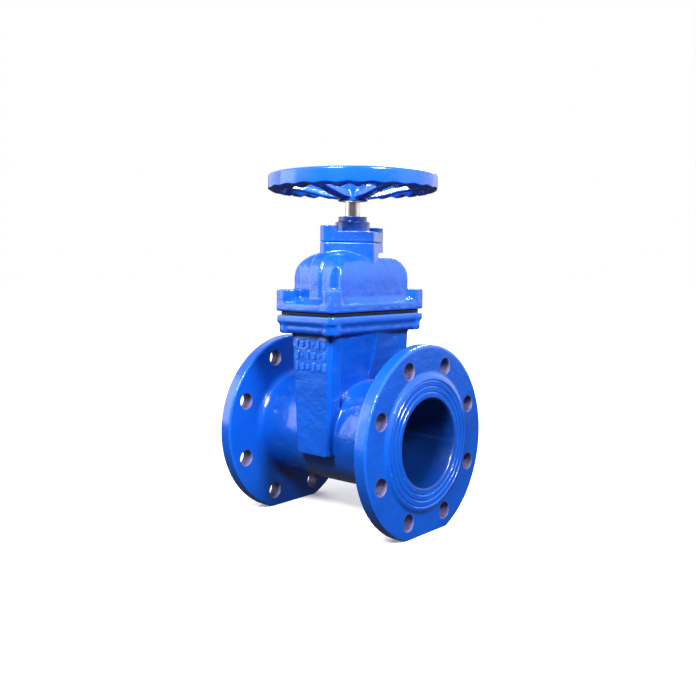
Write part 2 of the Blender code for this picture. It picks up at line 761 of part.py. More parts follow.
def make_seals():
    make_gasket()
    washer("thrust_washer_lower", SHANK_R + GAP, THRUST_R - GAP, up(THRUST_FLOOR) + GAP,
           up(COLLAR_FOOT) - GAP, NYLON)
    washer("thrust_washer_upper", STEM_R + GAP, THRUST_R - GAP, up(COLLAR_TOP) + GAP,
           up(THRUST_ROOF) - GAP, NYLON)
    for name, height in zip(("stem_o_ring_lower", "stem_o_ring_upper"), O_RING_HEIGHTS):
        o_ring(name, STEM_R + GAP + O_RING_R, O_RING_R, up(height), BLACK_RUBBER)
    o_ring("gland_o_ring", GLAND_RING_R, GLAND_RING_T, up(PAD_TOP) - GLAND_RING_T, BLACK_RUBBER)
    washer("back_seal", SHANK_R + GAP / 2, BACK_SEAL_R - GAP, up(BACK_SEAL_FOOT) + GAP,
           up(BACK_SEAL_TOP) - GAP, BLACK_RUBBER)
    washer("dust_wiper", STEM_R + GAP / 2, WIPER_R, up(WIPER_FOOT), up(NECK_TOP) - GAP, BLACK_RUBBER)


# ---------------------------------------------------------------- stem and wedge
def make_stem():
    """Turned bar: thread, shank, thrust collar, sealed neck and a square end for the handwheel."""
    half_square = SQUARE / math.sqrt(2)
    profile = [
        (0.0, up(HUB_FOOT) - SINK),
        (STEM_R, up(HUB_FOOT) - SINK),
        (STEM_R, up(COLLAR_TOP)),
        (COLLAR_R, up(COLLAR_TOP)),
        (COLLAR_R, up(COLLAR_FOOT)),
        (SHANK_R, up(COLLAR_FOOT)),
        (SHANK_R, up(THREAD_END)),
        (THREAD_R, up(THREAD_END) - EDGE),
        (THREAD_R, up(STEM_FOOT) + EDGE),
        (THREAD_R - EDGE, up(STEM_FOOT)),
        (0.0, up(STEM_FOOT)),
    ]
    stem = turned("stem", profile, PARTS)
    bm = bmesh.new()
    middle = (up(HUB_FOOT) + up(STEM_TOP)) / 2 - SINK
    matrix = Matrix.Translation((0.0, 0.0, middle)) @ Matrix.Rotation(math.pi / 4, 4, "Z")
    bmesh.ops.create_cone(bm, cap_ends=True, segments=4, radius1=half_square, radius2=half_square,
                          depth=STEM_TOP - HUB_FOOT + 2 * SINK, matrix=matrix)
    join(stem, from_bmesh("stem_square", bm, CUTTERS))
    cut(stem, cylinders("stem_tapped_hole", M8_R + GAP, up(STEM_TOP) - TAPPED_DEPTH,
                        up(STEM_TOP) + OVERRUN, [(0.0, 0.0)], CUTTERS))
    return finish(stem, STAINLESS)


def wedge_outline(radius, top):
    """Half round below the bore axis, straight sides above it."""
    return arc(0.0, 0.0, radius, 180, 360, 24) + [(radius, top), (-radius, top)]


def upright_plate(name, outline, half_x, home):
    """An outline in Y and Z, given thickness to both sides of the bore's middle plane."""
    rings = [[(x, y, up(z) + TRAVEL) for y, z in outline] for x in (-half_x, half_x)]
    return loft(name, rings, home)


def make_wedge():
    """An iron core with a rubber jacket round its disc and a captive brass nut in its head."""
    lifted = up(0.0) + TRAVEL
    centre = [(0.0, 0.0)]
    disc = wedge_outline(WEDGE_R - RUBBER_T - GAP, SHOULDER)
    core = upright_plate("wedge_core", disc, WEDGE_X - CORE_INSET, PARTS)
    join(core, boxes("wedge_head", [((GAP - WEDGE_X, -HEAD_Y, lifted + HEAD_FOOT),
                                     (WEDGE_X - GAP, HEAD_Y, lifted + HEAD_TOP))], CUTTERS))
    join(core, boxes("wedge_lugs", [((-LUG_HALF_X, -LUG_REACH, lifted + LUG_FOOT),
                                     (LUG_HALF_X, LUG_REACH, lifted + LUG_HEAD))], CUTTERS))
    cut(core, cylinders("wedge_hollow", THREAD_R + THREAD_ROOM, lifted + HOLLOW_FLOOR,
                        lifted + HEAD_TOP + OVERRUN, centre, CUTTERS, NUT_SIDES))
    cut(core, boxes("nut_slot", [((-WEDGE_X - OVERRUN, -NUT_Y - GAP, lifted + NUT_FOOT - GAP),
                                  (WEDGE_X + OVERRUN, NUT_Y + GAP, lifted + NUT_TOP + GAP))], CUTTERS))
    finish(core, BLUE_EPOXY)

    rubber = upright_plate("wedge_rubber", wedge_outline(WEDGE_R, RUBBER_TOP), WEDGE_X, PARTS)
    opening = wedge_outline(WEDGE_R - RUBBER_T, RUBBER_TOP + OVERRUN)
    cut(rubber, upright_plate("rubber_opening", opening, WEDGE_X + OVERRUN, CUTTERS))
    notch = ((-LUG_HALF_X - GAP, -WEDGE_R - OVERRUN, lifted + LUG_FOOT - GAP),
             (LUG_HALF_X + GAP, WEDGE_R + OVERRUN, lifted + RUBBER_TOP + OVERRUN))
    cut(rubber, boxes("rubber_notch", [notch], CUTTERS))
    finish(rubber, BLACK_RUBBER)

    nut = boxes("wedge_nut", [((NUT_INSET - WEDGE_X, -NUT_Y, lifted + NUT_FOOT),
                               (WEDGE_X - NUT_INSET, NUT_Y, lifted + NUT_TOP))], PARTS)
    cut(nut, cylinders("nut_thread", THREAD_R + GAP, lifted + NUT_FOOT - OVERRUN,
                       lifted + NUT_TOP + OVERRUN, centre, CUTTERS, NUT_SIDES))
    finish(nut, BRASS)


def make_guide_shoes():
    """Plastic caps over the wedge's lugs, sliding in the body's channels."""
    lifted = up(0.0) + TRAVEL
    half_x = LUG_HALF_X + GAP + SHOE_WALL
    for name, side in (("guide_shoe_right", 1), ("guide_shoe_left", -1)):
        ys = sorted((side * SHOE_INNER, side * SHOE_REACH))
        shoe = boxes(name, [((-half_x, ys[0], lifted + LUG_FOOT - GAP - SHOE_WALL),
                             (half_x, ys[1], lifted + LUG_HEAD + GAP + SHOE_WALL))], PARTS)
        slot = sorted((side * (SHOE_INNER - OVERRUN), side * (LUG_REACH + GAP)))
        cut(shoe, boxes(name + "_slot", [((-LUG_HALF_X - GAP, slot[0], lifted + LUG_FOOT - GAP),
                                          (LUG_HALF_X + GAP, slot[1], lifted + LUG_HEAD + GAP))], CUTTERS))
        finish(shoe, NYLON)


# ---------------------------------------------------------------- fasteners
def socket_screw(name, x, y, foot, seat, shank_r, head_r, head_h, key_r):
    profile = [
        (0.0, seat + head_h),
        (head_r - GAP, seat + head_h),
        (head_r, seat + head_h - GAP),
        (head_r, seat),
        (shank_r, seat),
        (shank_r, foot + GAP),
        (shank_r - GAP, foot),
        (0.0, foot),
    ]
    screw = turned(name, profile, PARTS, sides=SMALL)
    screw.location = (x, y, 0.0)
    bm = bmesh.new()
    add_cylinder(bm, key_r, seat + head_h / 2, seat + head_h + OVERRUN, x, y, sides=6)
    cut(screw, from_bmesh(name + "_socket", bm, CUTTERS))
    return finish(screw, ZINC_STEEL)


def seal_plug(name, x, y, radius, top):
    """A low crowned plug poured over a screw head."""
    profile = [(0.0, top), (radius * SEAL_CROWN, top - GAP), (radius, top - 2 * GAP),
               (radius, top - SEAL_H), (0.0, top - SEAL_H)]
    plug = turned(name, profile, PARTS, sides=SMALL)
    plug.location = (x, y, 0.0)
    return finish(plug, SEAL_WAX)


def make_fasteners():
    head_top = up(BOSS_TOP) - SEAL_H - GAP
    for number, (x, y) in enumerate(corners(SCREW_X, SCREW_Y), start=1):
        socket_screw("bonnet_bolt_%d" % number, x, y, up(BODY_TOP) - M10_DEPTH, head_top - M10_HEAD_H,
                     M10_R, M10_HEAD_R, M10_HEAD_H, M10_KEY_R)
        seal_plug("bonnet_bolt_seal_%d" % number, x, y, M10_HEAD_R, up(BOSS_TOP))
    head_top = up(LUG_TOP) - SEAL_H - GAP
    for number, y in enumerate((LUG_Y, -LUG_Y), start=1):
        socket_screw("gland_bolt_%d" % number, 0.0, y, up(PAD_HOLE_FLOOR) + GAP, head_top - M8_HEAD_H,
                     M8_R, M8_HEAD_R, M8_HEAD_H, M8_KEY_R)
        seal_plug("gland_bolt_seal_%d" % number, 0.0, y, M8_HEAD_R, up(LUG_TOP))


# ---------------------------------------------------------------- handwheel
def rim_section(angle):
    """Radius and height round one slice of the rim; the grip bulges down once in each scallop."""
    swell = SCALLOP_DEPTH * (0.5 + 0.5 * math.cos(SCALLOPS * angle))
    return [(WHEEL_R - inwards, RIM_LOW + rise - swell * share) for inwards, rise, share in RIM_SLICE]


def make_rim():
    bm = bmesh.new()
    count = SCALLOPS * STEPS_PER_SCALLOP
    loops = []
    for i in range(count):
        angle = 2 * math.pi * i / count
        loops.append([bm.verts.new((radius * math.cos(angle), radius * math.sin(angle), up(height)))
                      for radius, height in rim_section(angle)])
    for i in range(count):
        here = loops[i]
        there = loops[(i + 1) % count]
        for k in range(len(here)):
            n = (k + 1) % len(here)
            bm.faces.new((here[k], there[k], there[n], here[n]))
    return from_bmesh("handwheel", bm, PARTS)


def spoke(number):
    """A tapered arm that climbs from the hub's foot to the inside of the rim."""
    turn = Matrix.Rotation(SPOKE_START + number * 2 * math.pi / SPOKES, 4, "Z")
    rings = []
    for along, foot, half in SPOKE_STATIONS:
        places = [(along, half * across, up(foot + rise)) for across, rise in SPOKE_SECTION]
        rings.append([tuple(turn @ Vector(place)) for place in places])
    return loft("spoke_%d" % (number + 1), rings, CUTTERS)


def handwheel_bolt(seat):
    """A hexagon screw that holds the wheel down on the stem."""
    foot = up(STEM_TOP) - HEX_BOLT_DEPTH
    profile = [(0.0, seat + HEX_H), (HEX_R, seat + HEX_H), (HEX_R, seat), (M8_R, seat), (M8_R, foot),
               (0.0, foot)]
    bolt = turned("handwheel_bolt", profile, PARTS, sides=BOSS_SIDES)
    top = seat + HEX_H + SINK
    for turn in range(3):
        flats = boxes("bolt_flats_%d" % (turn + 1),
                      [((HEX_HALF, -FLAT_WIDTH, seat), (FLAT_REACH, FLAT_WIDTH, top)),
                       ((-FLAT_REACH, -FLAT_WIDTH, seat), (-HEX_HALF, FLAT_WIDTH, top))], CUTTERS)
        flats.rotation_euler = (0.0, 0.0, turn * math.pi / 3)
        cut(bolt, flats)
    return finish(bolt, ZINC_STEEL)


def make_handwheel():
    wheel = make_rim()
    hub = [(0.0, up(HUB_TOP)), (HUB_R - 2 * EDGE, up(HUB_TOP)), (HUB_R - EDGE, up(HUB_TOP) - EDGE),
           (HUB_R, up(HUB_FOOT) + EDGE), (HUB_R - EDGE, up(HUB_FOOT)), (0.0, up(HUB_FOOT))]
    hub_solid = turned("hub", hub, CUTTERS)
    for number in range(SPOKES):
        join(hub_solid, spoke(number))
    join(wheel, hub_solid)
    half = SQUARE / 2 + GAP
    square = ((-half, -half, up(HUB_FOOT) - OVERRUN), (half, half, up(HUB_TOP) + OVERRUN))
    cut(wheel, boxes("hub_square", [square], CUTTERS))
    finish(wheel, WHEEL_ENAMEL)
    low = up(HUB_TOP) + GAP
    washer("handwheel_washer", WASHER_HOLE_R, WASHER_R, low, low + WASHER_T, ZINC_STEEL)
    handwheel_bolt(low + WASHER_T + GAP)


make_body()
make_bonnet()
make_gland()
make_seals()
make_stem()
make_wedge()
make_guide_shoes()
make_fasteners()
make_handwheel()
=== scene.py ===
"""The looks of a flanged gate valve: blue epoxy castings, a scalloped handwheel and a bright stem.

Every casting is poured as one skin: its rough shapes overlap, are fused and softened as a
foundry pattern would be, and are then bored, faced and drilled with clean cuts.
"""
import math

import bmesh
import bpy
import numpy as np
from mathutils import Matrix, Vector, noise


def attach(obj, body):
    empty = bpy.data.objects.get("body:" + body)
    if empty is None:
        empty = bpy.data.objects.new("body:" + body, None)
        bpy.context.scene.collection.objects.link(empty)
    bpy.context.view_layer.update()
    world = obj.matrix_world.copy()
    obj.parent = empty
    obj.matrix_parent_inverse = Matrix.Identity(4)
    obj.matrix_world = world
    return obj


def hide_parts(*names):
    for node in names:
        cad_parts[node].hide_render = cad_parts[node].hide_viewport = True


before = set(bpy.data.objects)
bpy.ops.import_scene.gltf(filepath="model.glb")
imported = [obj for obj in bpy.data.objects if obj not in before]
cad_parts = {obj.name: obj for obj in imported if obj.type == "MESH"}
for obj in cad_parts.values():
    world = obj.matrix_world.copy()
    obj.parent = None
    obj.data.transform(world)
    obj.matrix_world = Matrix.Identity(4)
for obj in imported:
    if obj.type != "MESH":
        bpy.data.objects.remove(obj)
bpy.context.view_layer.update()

# Fineness of the castings
BODY_GRAIN = 0.0014
BONNET_GRAIN = 0.0010
GLAND_GRAIN = 0.0007
WHEEL_GRAIN = 0.0009
WEDGE_GRAIN = 0.0010

# Bore and flanges
BORE_Z = 0.102
BORE_R = 0.050
HALF_LENGTH = 0.1145
FLANGE_R = 0.110
FLANGE_BACK = 0.0955
RAISED_H = 0.003
RAISED_R = 0.078
SHOULDER_R = 0.0735
BARREL_R = 0.061
NECK_FILLET = 0.008
BOLT_CIRCLE_R = 0.090
BOLT_HOLE_R = 0.0095
BOLT_COUNT = 8
SEALING_RINGS = (0.0575, 0.0640, 0.0705)
RING_HALF = 0.0012
RING_DEPTH = 0.0009

# Heights above the bore axis
BOX_FOOT = -0.019
TIER_FOOT = 0.1210
RIM_FOOT = 0.1323
BODY_TOP = 0.1412
BONNET_FOOT = 0.1454
BONNET_RIM = 0.0092
BOSS_TOP = 0.1707
DOME_SPRING = 0.182
DOME_TOP = 0.2140
PAD_FOOT = 0.190
PAD_TOP = 0.2258
PLATE_TOP = 0.2387
LUG_TOP = 0.2450
NECK_STEP = 0.2504
NECK_TOP = 0.2568
HUB_FOOT = 0.2752
HUB_TOP = 0.2970
RIM_LOW = 0.2880
RIM_HIGH = 0.3065

# Square flanges of body and bonnet
RIM_X = 0.0442
RIM_Y = 0.0858
TIER_INSET = 0.0022
RIM_CORNER_R = 0.005
SCREW_X = 0.033
SCREW_Y = 0.074
BOSS_R = 0.0115
BODY_LUG_R = 0.0112

# Wedge chamber: height, half width at the middle rib, half width at the guide boxes
CHAMBER_LEVELS = (
    (0.045, 0.0165, 0.0185),
    (0.062, 0.0227, 0.0225),
    (0.075, 0.0278, 0.0255),
    (0.087, 0.0318, 0.0275),
    (0.101, 0.0350, 0.0290),
    (0.123, 0.0385, 0.0300),
)
CHAMBER_Y = 0.062
BOX_TOP_X = 0.0315
BOX_FOOT_X = 0.0235
BOX_TOP_Y = 0.0732
BOX_FOOT_Y = 0.0700
BOX_INNER_Y = 0.052
BOX_CHAMFER = 0.0030
WALL = 0.0065
SEAT_X = 0.0158
CAVITY_Y = 0.0505
CHANNEL_X = 0.0077
CHANNEL_Y = 0.0663
CHANNEL_FLOOR = -0.009

# Raised marks on the guide boxes
MARK_ROWS = (0.1085, 0.0955, 0.0825)
MARK_COLUMNS = 6
MARK_PITCH = 0.0084
MARK_PROUD = 0.0014
MARK_SHAPES = (              # half height, half width
    (0.0050, 0.0018), (0.0034, 0.0028), (0.0050, 0.0027), (0.0021, 0.0021),
    (0.0050, 0.0018), (0.0042, 0.0029), (0.0027, 0.0018),
)

# Bonnet, gland and stem
DOME_X = 0.037
DOME_Y = 0.066
DOME_CORNER_R = 0.0055
DOME_ROUND = 0.024
RIB_HALF = 0.008
RIB_PROUD = 0.0022
LUG_Y = 0.042
LUG_R = 0.0107
PAD_X = 0.033
PAD_NOSE_R = 0.004
POCKET_R = 0.0120
POCKET_TOP = 0.212
THRUST_R = 0.019
THRUST_FLOOR = 0.2188
THRUST_ROOF = 0.2334
SHANK_R = 0.0110
STEM_R = 0.0090
NECK_LOW_R = 0.0207
NECK_HIGH_R = 0.0172
WIPER_R = 0.0140
WIPER_FOOT = 0.2533

# Handwheel
WHEEL_R = 0.1012
RIM_WIDTH = 0.0190
SCALLOPS = 24
SCALLOP_DEPTH = 0.0032
SPOKES = 5
SPOKE_START = math.radians(-13.5)
HUB_R = 0.0180
SQUARE = 0.0130

# Stem
THREAD_R = 0.0097
THREAD_DEPTH = 0.0022
THREAD_PITCH = 0.005
THREAD_STEPS = 20            # rings in one pitch
NUT_SLACK = 0.18             # of half a pitch, left free on each flank
THREAD_END = 0.198
STEM_FOOT = 0.059
COLLAR_R = 0.0170
COLLAR_FOOT = 0.2228
COLLAR_TOP = 0.2298
STEM_TOP = 0.2950
TAPPED_DEPTH = 0.018

# Wedge, heights while it is shut; drawn TRAVEL higher
TRAVEL = 0.100
WEDGE_X = 0.0152
WEDGE_R = 0.0496
CORE_INSET = 0.0012
RUBBER_T = 0.0043
RUBBER_TOP = 0.040
HEAD_Y = 0.026
HEAD_FOOT = 0.044
HEAD_TOP = 0.086
SHOULDER = 0.052
HOLLOW_FLOOR = -0.042
NUT_Y = 0.016
NUT_FOOT = 0.0583
NUT_TOP = 0.0787
NUT_INSET = 0.0005
LUG_FOOT = -0.005
LUG_HEAD = 0.0355
LUG_HALF_X = 0.0055
LUG_REACH = 0.0610
SHOE_WALL = 0.0014
SHOE_REACH = 0.0655
SHOE_INNER = 0.0520

# Seals and fasteners
O_RING_R = 0.00135
O_RING_HEIGHTS = (0.2403, 0.2473)
GLAND_RING_R = 0.0225
GLAND_RING_T = 0.0012
BACK_SEAL_R = 0.0145
BACK_SEAL_FOOT = 0.2105
BACK_SEAL_TOP = 0.2142
SEAL_H = 0.0025
M10 = {"shank": 0.0047, "head": 0.0080, "height": 0.0100, "key": 0.0046}
M8 = {"shank": 0.0037, "head": 0.0063, "height": 0.0080, "key": 0.0036}
M10_DEPTH = 0.0142
PAD_HOLE_FLOOR = 0.2115
WASHER_HOLE_R = 0.0043
WASHER_R = 0.0120
WASHER_T = 0.0020
HEX_R = 0.0072
HEX_HALF = 0.0065
HEX_H = 0.0065
HEX_BOLT_DEPTH = 0.0160

# Screw holes: hole, pocket and mouth radius, depth of the pocket, rounding of its mouth
SCREW_HOLE_R = 0.0050
SCREW_HOLE_DEPTH = 0.015
LUG_HOLE_R = 0.0040
BOSS_POCKET = (SCREW_HOLE_R, 0.0083, 0.0093, 0.0131, 0.0010)
LUG_POCKET = (LUG_HOLE_R, 0.0066, 0.0074, 0.0111, 0.0008)
MOUTH_PROUD = 0.0002
SMALL_HOLE = 24              # sides of a screw hole

# Skins: how far they wander and over what length, and the gasket's inset and bulge
BODY_RIPPLE = (0.00022, 0.014)
BONNET_RIPPLE = (0.00022, 0.012)
GLAND_RIPPLE = (0.00015, 0.009)
WHEEL_RIPPLE = (0.00012, 0.012)
GASKET_INSET = 0.0041
GASKET_BULGE = 0.0006

# Camera and lights
CAMERA_AZIMUTH = math.radians(40.56)
CAMERA_HEIGHT = math.radians(1.54)
CAMERA_ROLL = math.radians(0.30)
CAMERA_DISTANCE = 1.01571
CAMERA_ASIDE = -0.00508
CAMERA_RAISED = 0.16904
LENS = 43.504655
SHIFT_Y = -0.0833
SENSOR = 36.0
LIGHT_TARGET = (0.0, 0.0, 0.20)
LIGHTS = (                   # name, place, width, height, power
    ("key", (0.35, -1.35, 1.30), 0.45, 0.45, 52.0),
    ("second", (1.40, -0.35, 1.20), 0.45, 0.45, 46.0),
    ("low_left", (-1.3, -1.0, 0.6), 0.9, 1.2, 7.0),
    ("back", (-0.6, 1.6, 1.4), 0.8, 0.8, 26.0),
)

GAP = 0.0003
OVERRUN = 0.004
FINE = 96                    # sides of the bore and flanges
ROUND = 48                   # sides of necks, bosses and bolt holes


# ---------------------------------------------------------------- shapes
def up(height):
    """A height above the bore axis as a height above the feet."""
    return BORE_Z + height


def arc(centre_x, centre_y, radius, start, end, steps):
    points = []
    for i in range(steps + 1):
        angle = math.radians(start + (end - start) * i / steps)
        points.append((centre_x + radius * math.cos(angle), centre_y + radius * math.sin(angle)))
    return points


def rounded_rectangle(half_x, half_y, radius, steps=6):
    points = []
    for sign_x, sign_y, start in ((1, 1, 0), (-1, 1, 90), (-1, -1, 180), (1, -1, 270)):
        points += arc(sign_x * (half_x - radius), sign_y * (half_y - radius), radius,
                      start, start + 90, steps)
    return points


def rhombus(lug_r, half_x, nose_r):
    """Two round lugs on the Y axis, joined by straight flanks to a blunt nose on the X axis."""
    run = math.hypot(half_x - nose_r, LUG_Y)
    lean = math.degrees(math.atan2(LUG_Y, half_x - nose_r))
    turn = lean - math.degrees(math.asin((lug_r - nose_r) / run))
    flank = 90.0 - turn
    points = arc(half_x - nose_r, 0.0, nose_r, -flank, flank, 6)
    points += arc(0.0, LUG_Y, lug_r, flank, 180 - flank, 16)
    points += arc(-(half_x - nose_r), 0.0, nose_r, 180 - flank, 180 + flank, 6)
    points += arc(0.0, -LUG_Y, lug_r, 180 + flank, 360 - flank, 16)
    return points


def corners(x, y):
    return [(x, y), (-x, y), (-x, -y), (x, -y)]


def level(outline, height):
    """A flat outline as a ring of points at a height above the bore axis."""
    return [(x, y, up(height)) for x, y in outline]


def add_loft(bm, rings, material=0):
    """A closed solid through rings of points with the same count."""
    levels = [[bm.verts.new(point) for point in ring] for ring in rings]
    count = len(levels[0])
    faces = []
    for lower, upper in zip(levels, levels[1:]):
        for i in range(count):
            j = (i + 1) % count
            faces.append(bm.faces.new((lower[i], lower[j], upper[j], upper[i])))
    faces.append(bm.faces.new(list(reversed(levels[0]))))
    faces.append(bm.faces.new(levels[-1]))
    for face in faces:
        face.material_index = material


def add_turned(bm, profile, sides=ROUND, place=None, closed=False, material=0):
    """A profile of (radius, height) points spun round Z; an open one starts and ends on the axis."""
    place = place or Matrix.Identity(4)
    rings = []
    for radius, height in profile:
        if radius < 1e-7:
            rings.append([bm.verts.new(place @ Vector((0.0, 0.0, height)))])
            continue
        rings.append([bm.verts.new(place @ Vector((radius * math.cos(2 * math.pi * i / sides),
                                                   radius * math.sin(2 * math.pi * i / sides), height)))
                      for i in range(sides)])
    pairs = list(zip(rings, rings[1:]))
    if closed:
        pairs.append((rings[-1], rings[0]))
    for here, there in pairs:
        for i in range(sides):
            j = (i + 1) % sides
            if len(here) == 1:
                face = bm.faces.new((here[0], there[i], there[j]))
            elif len(there) == 1:
                face = bm.faces.new((here[i], there[0], here[j]))
            else:
                face = bm.faces.new((here[i], there[i], there[j], here[j]))
            face.material_index = material


def add_skin(bm, stations, radius_at, sides, place):
    """A closed solid of level rings; radius_at(station, turn) shapes each of them."""
    rings = []
    for station in stations:
        ring = []
        for i in range(sides):
            turn = 2 * math.pi * i / sides
            radius = radius_at(station, turn)
            ring.append(place @ Vector((radius * math.cos(turn), radius * math.sin(turn), station[0])))
        rings.append(ring)
    add_loft(bm, rings)


def add_post(bm, radius, low, high, place, sides=ROUND, material=0):
    """A plain round post, or the straight hole that it cuts."""
    add_turned(bm, [(0.0, low), (radius, low), (radius, high), (0.0, high)], sides, place,
               material=material)


def add_stepped_hole(bm, foot, top, sizes, sides, place):
    """A screw's hole, the pocket for its head and the pocket's opened mouth."""
    hole, pocket, mouth, depth, lead = sizes
    seat = top - depth
    add_turned(bm, [(0.0, foot), (hole, foot), (hole, seat), (pocket, seat), (pocket, top - lead),
                    (mouth, top + MOUTH_PROUD), (mouth, top + OVERRUN), (0.0, top + OVERRUN)],
               sides, place, material=1)


def add_ring(bm, inner, outer, low, high, lip):
    """A flat ring with softened edges."""
    add_turned(bm, [(inner + lip, high), (outer - lip, high), (outer, high - lip), (outer, low + lip),
                    (outer - lip, low), (inner + lip, low), (inner, low + lip), (inner, high - lip)],
               FINE, upright(), closed=True)


def add_soft_box(bm, low, high, lip):
    """A block with chamfered upright edges and softened ends."""
    half_x = (high[0] - low[0]) / 2
    half_y = (high[1] - low[1]) / 2
    x = (high[0] + low[0]) / 2
    y = (high[1] + low[1]) / 2
    rings = []
    for height, shrink in ((low[2], lip), (low[2] + lip, 0.0), (high[2] - lip, 0.0), (high[2], lip)):
        outline = rounded_rectangle(half_x - shrink, half_y - shrink, 2 * lip, 3)
        rings.append([(x + a, y + b, height) for a, b in outline])
    add_loft(bm, rings)


def add_box(bm, low, high):
    size = [high[i] - low[i] for i in range(3)]
    centre = [(high[i] + low[i]) / 2 for i in range(3)]
    bmesh.ops.create_cube(bm, size=1.0, matrix=Matrix.Translation(centre) @ Matrix.Diagonal((*size, 1.0)))


def along_bore(y=0.0, z=0.0):
    """Turns Z into X and sets the origin on the bore axis."""
    return Matrix.Translation((0.0, y, BORE_Z + z)) @ Matrix.Rotation(math.pi / 2, 4, "Y")


def upright(x=0.0, y=0.0):
    return Matrix.Translation((x, y, BORE_Z))


def object_from(name, bm):
    bmesh.ops.recalc_face_normals(bm, faces=bm.faces)
    mesh = bpy.data.meshes.new(name)
    bm.to_mesh(mesh)
    bm.free()
    item = bpy.data.objects.new(name, mesh)
    bpy.context.scene.collection.objects.link(item)
    return item


def apply_modifiers(item):
    graph = bpy.context.evaluated_depsgraph_get()
    mesh = bpy.data.meshes.new_from_object(item.evaluated_get(graph))
    old = item.data
    item.modifiers.clear()
    item.data = mesh
    bpy.data.meshes.remove(old)
    item.data.name = item.name


def fuse(item, grain, softness):
    """Fuses overlapping closed shapes into one skin; softness rounds its edges and corners."""
    remesh = item.modifiers.new("fuse", "REMESH")
    remesh.mode = "VOXEL"
    remesh.voxel_size = grain
    if softness:
        soften = item.modifiers.new("soften", "SMOOTH")
        soften.factor = 0.5
        soften.iterations = softness
    apply_modifiers(item)


def cast_in_one(name, bm, grain, softness):
    item = object_from(name, bm)
    fuse(item, grain, softness)
    return item


def cut_or_join(item, bm, operation):
    tool = object_from(item.name + "_tool", bm)
    modifier = item.modifiers.new("shape", "BOOLEAN")
    modifier.operation = operation
    modifier.solver = "MANIFOLD"
    modifier.object = tool
    apply_modifiers(item)
    bpy.data.objects.remove(tool, do_unlink=True)


def unite(item, bm):
    """Adds the closed shapes in bm to a skin."""
    cut_or_join(item, bm, "UNION")


def carve(item, bm):
    """Takes the closed shapes in bm away; their faces keep their own material number."""
    cut_or_join(item, bm, "DIFFERENCE")


def carve_box(item, low, high):
    bm = bmesh.new()
    add_box(bm, low, high)
    carve(item, bm)


def ripple(item, amount, size, reach):
    """Lets a cast skin wander by a hair; reach(point) gives how much of it, from 0 to 1."""
    mesh = item.data
    places = np.empty(len(mesh.vertices) * 3, np.float32)
    mesh.vertices.foreach_get("co", places)
    places = places.reshape(-1, 3)
    outward = np.empty(len(mesh.vertices) * 3, np.float32)
    mesh.vertex_normals.foreach_get("vector", outward)
    outward = outward.reshape(-1, 3)
    swing = np.zeros(len(places), np.float32)
    for index, place in enumerate(places):
        point = Vector(place)
        share = reach(point)
        if share > 0.0:
            swing[index] = share * (noise.noise(point / size) + 0.5 * noise.noise(point / size * 2.3))
    places += outward * (amount * swing)[:, None]
    mesh.vertices.foreach_set("co", places.ravel())
    mesh.update()


def shade(item, angle=38.0):
    item.data.shade_smooth()
    item.data.set_sharp_from_angle(angle=math.radians(angle))


def clothe(item, body, materials, slot, *nodes):
    """Gives a piece its finish and says what it rides on and which CAD nodes it stands for."""
    numbers = np.empty(len(item.data.polygons), np.int32)
    item.data.polygons.foreach_get("material_index", numbers)
    item.data.materials.clear()
    for material in materials:
        item.data.materials.append(material)
    item.data.polygons.foreach_set("material_index", np.minimum(numbers, len(materials) - 1))
    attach(item, body)
    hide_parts(*nodes)


# ---------------------------------------------------------------- finishes
def new_group(name, inputs, outputs):
    """An empty node group with its sockets, and its input and output nodes."""
    group = bpy.data.node_groups.new(name, "ShaderNodeTree")
    for label, value in inputs:
        entry = group.interface.new_socket(name=label, in_out="INPUT", socket_type="NodeSocketFloat")
        entry.default_value = value
    for label in outputs:
        group.interface.new_socket(name=label, in_out="OUTPUT", socket_type="NodeSocketFloat")
    source = group.nodes.new("NodeGroupInput")
    sink = group.nodes.new("NodeGroupOutput")
    return group, source, sink


def math_node(tree, operation, first, second=None, clamp=False):
    node = tree.nodes.new("ShaderNodeMath")
    node.operation = operation
    node.use_clamp = clamp
    for index, value in enumerate((first, second)):
        if value is None:
            continue
        if isinstance(value, (int, float)):
            node.inputs[index].default_value = value
        else:
            tree.links.new(value, node.inputs[index])
    return node.outputs[0]


def noise_node(tree, vector, scale, detail, roughness=0.5):
    node = tree.nodes.new("ShaderNodeTexNoise")
    node.inputs["Detail"].default_value = detail
    node.inputs["Roughness"].default_value = roughness
    tree.links.new(vector, node.inputs["Vector"])
    if isinstance(scale, (int, float)):
        node.inputs["Scale"].default_value = scale
    else:
        tree.links.new(scale, node.inputs["Scale"])
    return node.outputs["Fac"]


def object_space(tree):
    return tree.nodes.new("ShaderNodeTexCoord").outputs["Object"]


def mix_colours(tree, share, first, second):
    node = tree.nodes.new("ShaderNodeMix")
    node.data_type = "RGBA"
    for name, value in (("A", first), ("B", second)):
        target = [s for s in node.inputs if s.name == name and s.type == "RGBA"][0]
        if isinstance(value, tuple):
            target.default_value = (*value, 1.0)
        else:
            tree.links.new(value, target)
    factor = [s for s in node.inputs if s.name == "Factor" and s.type == "VALUE"][0]
    tree.links.new(share, factor)
    return [s for s in node.outputs if s.type == "RGBA"][0]


def stretch(tree, value, low, high, new_low, new_high):
    node = tree.nodes.new("ShaderNodeMapRange")
    tree.links.new(value, node.inputs["Value"])
    for name, number in (("From Min", low), ("From Max", high), ("To Min", new_low), ("To Max", new_high)):
        node.inputs[name].default_value = number
    return node.outputs["Result"]


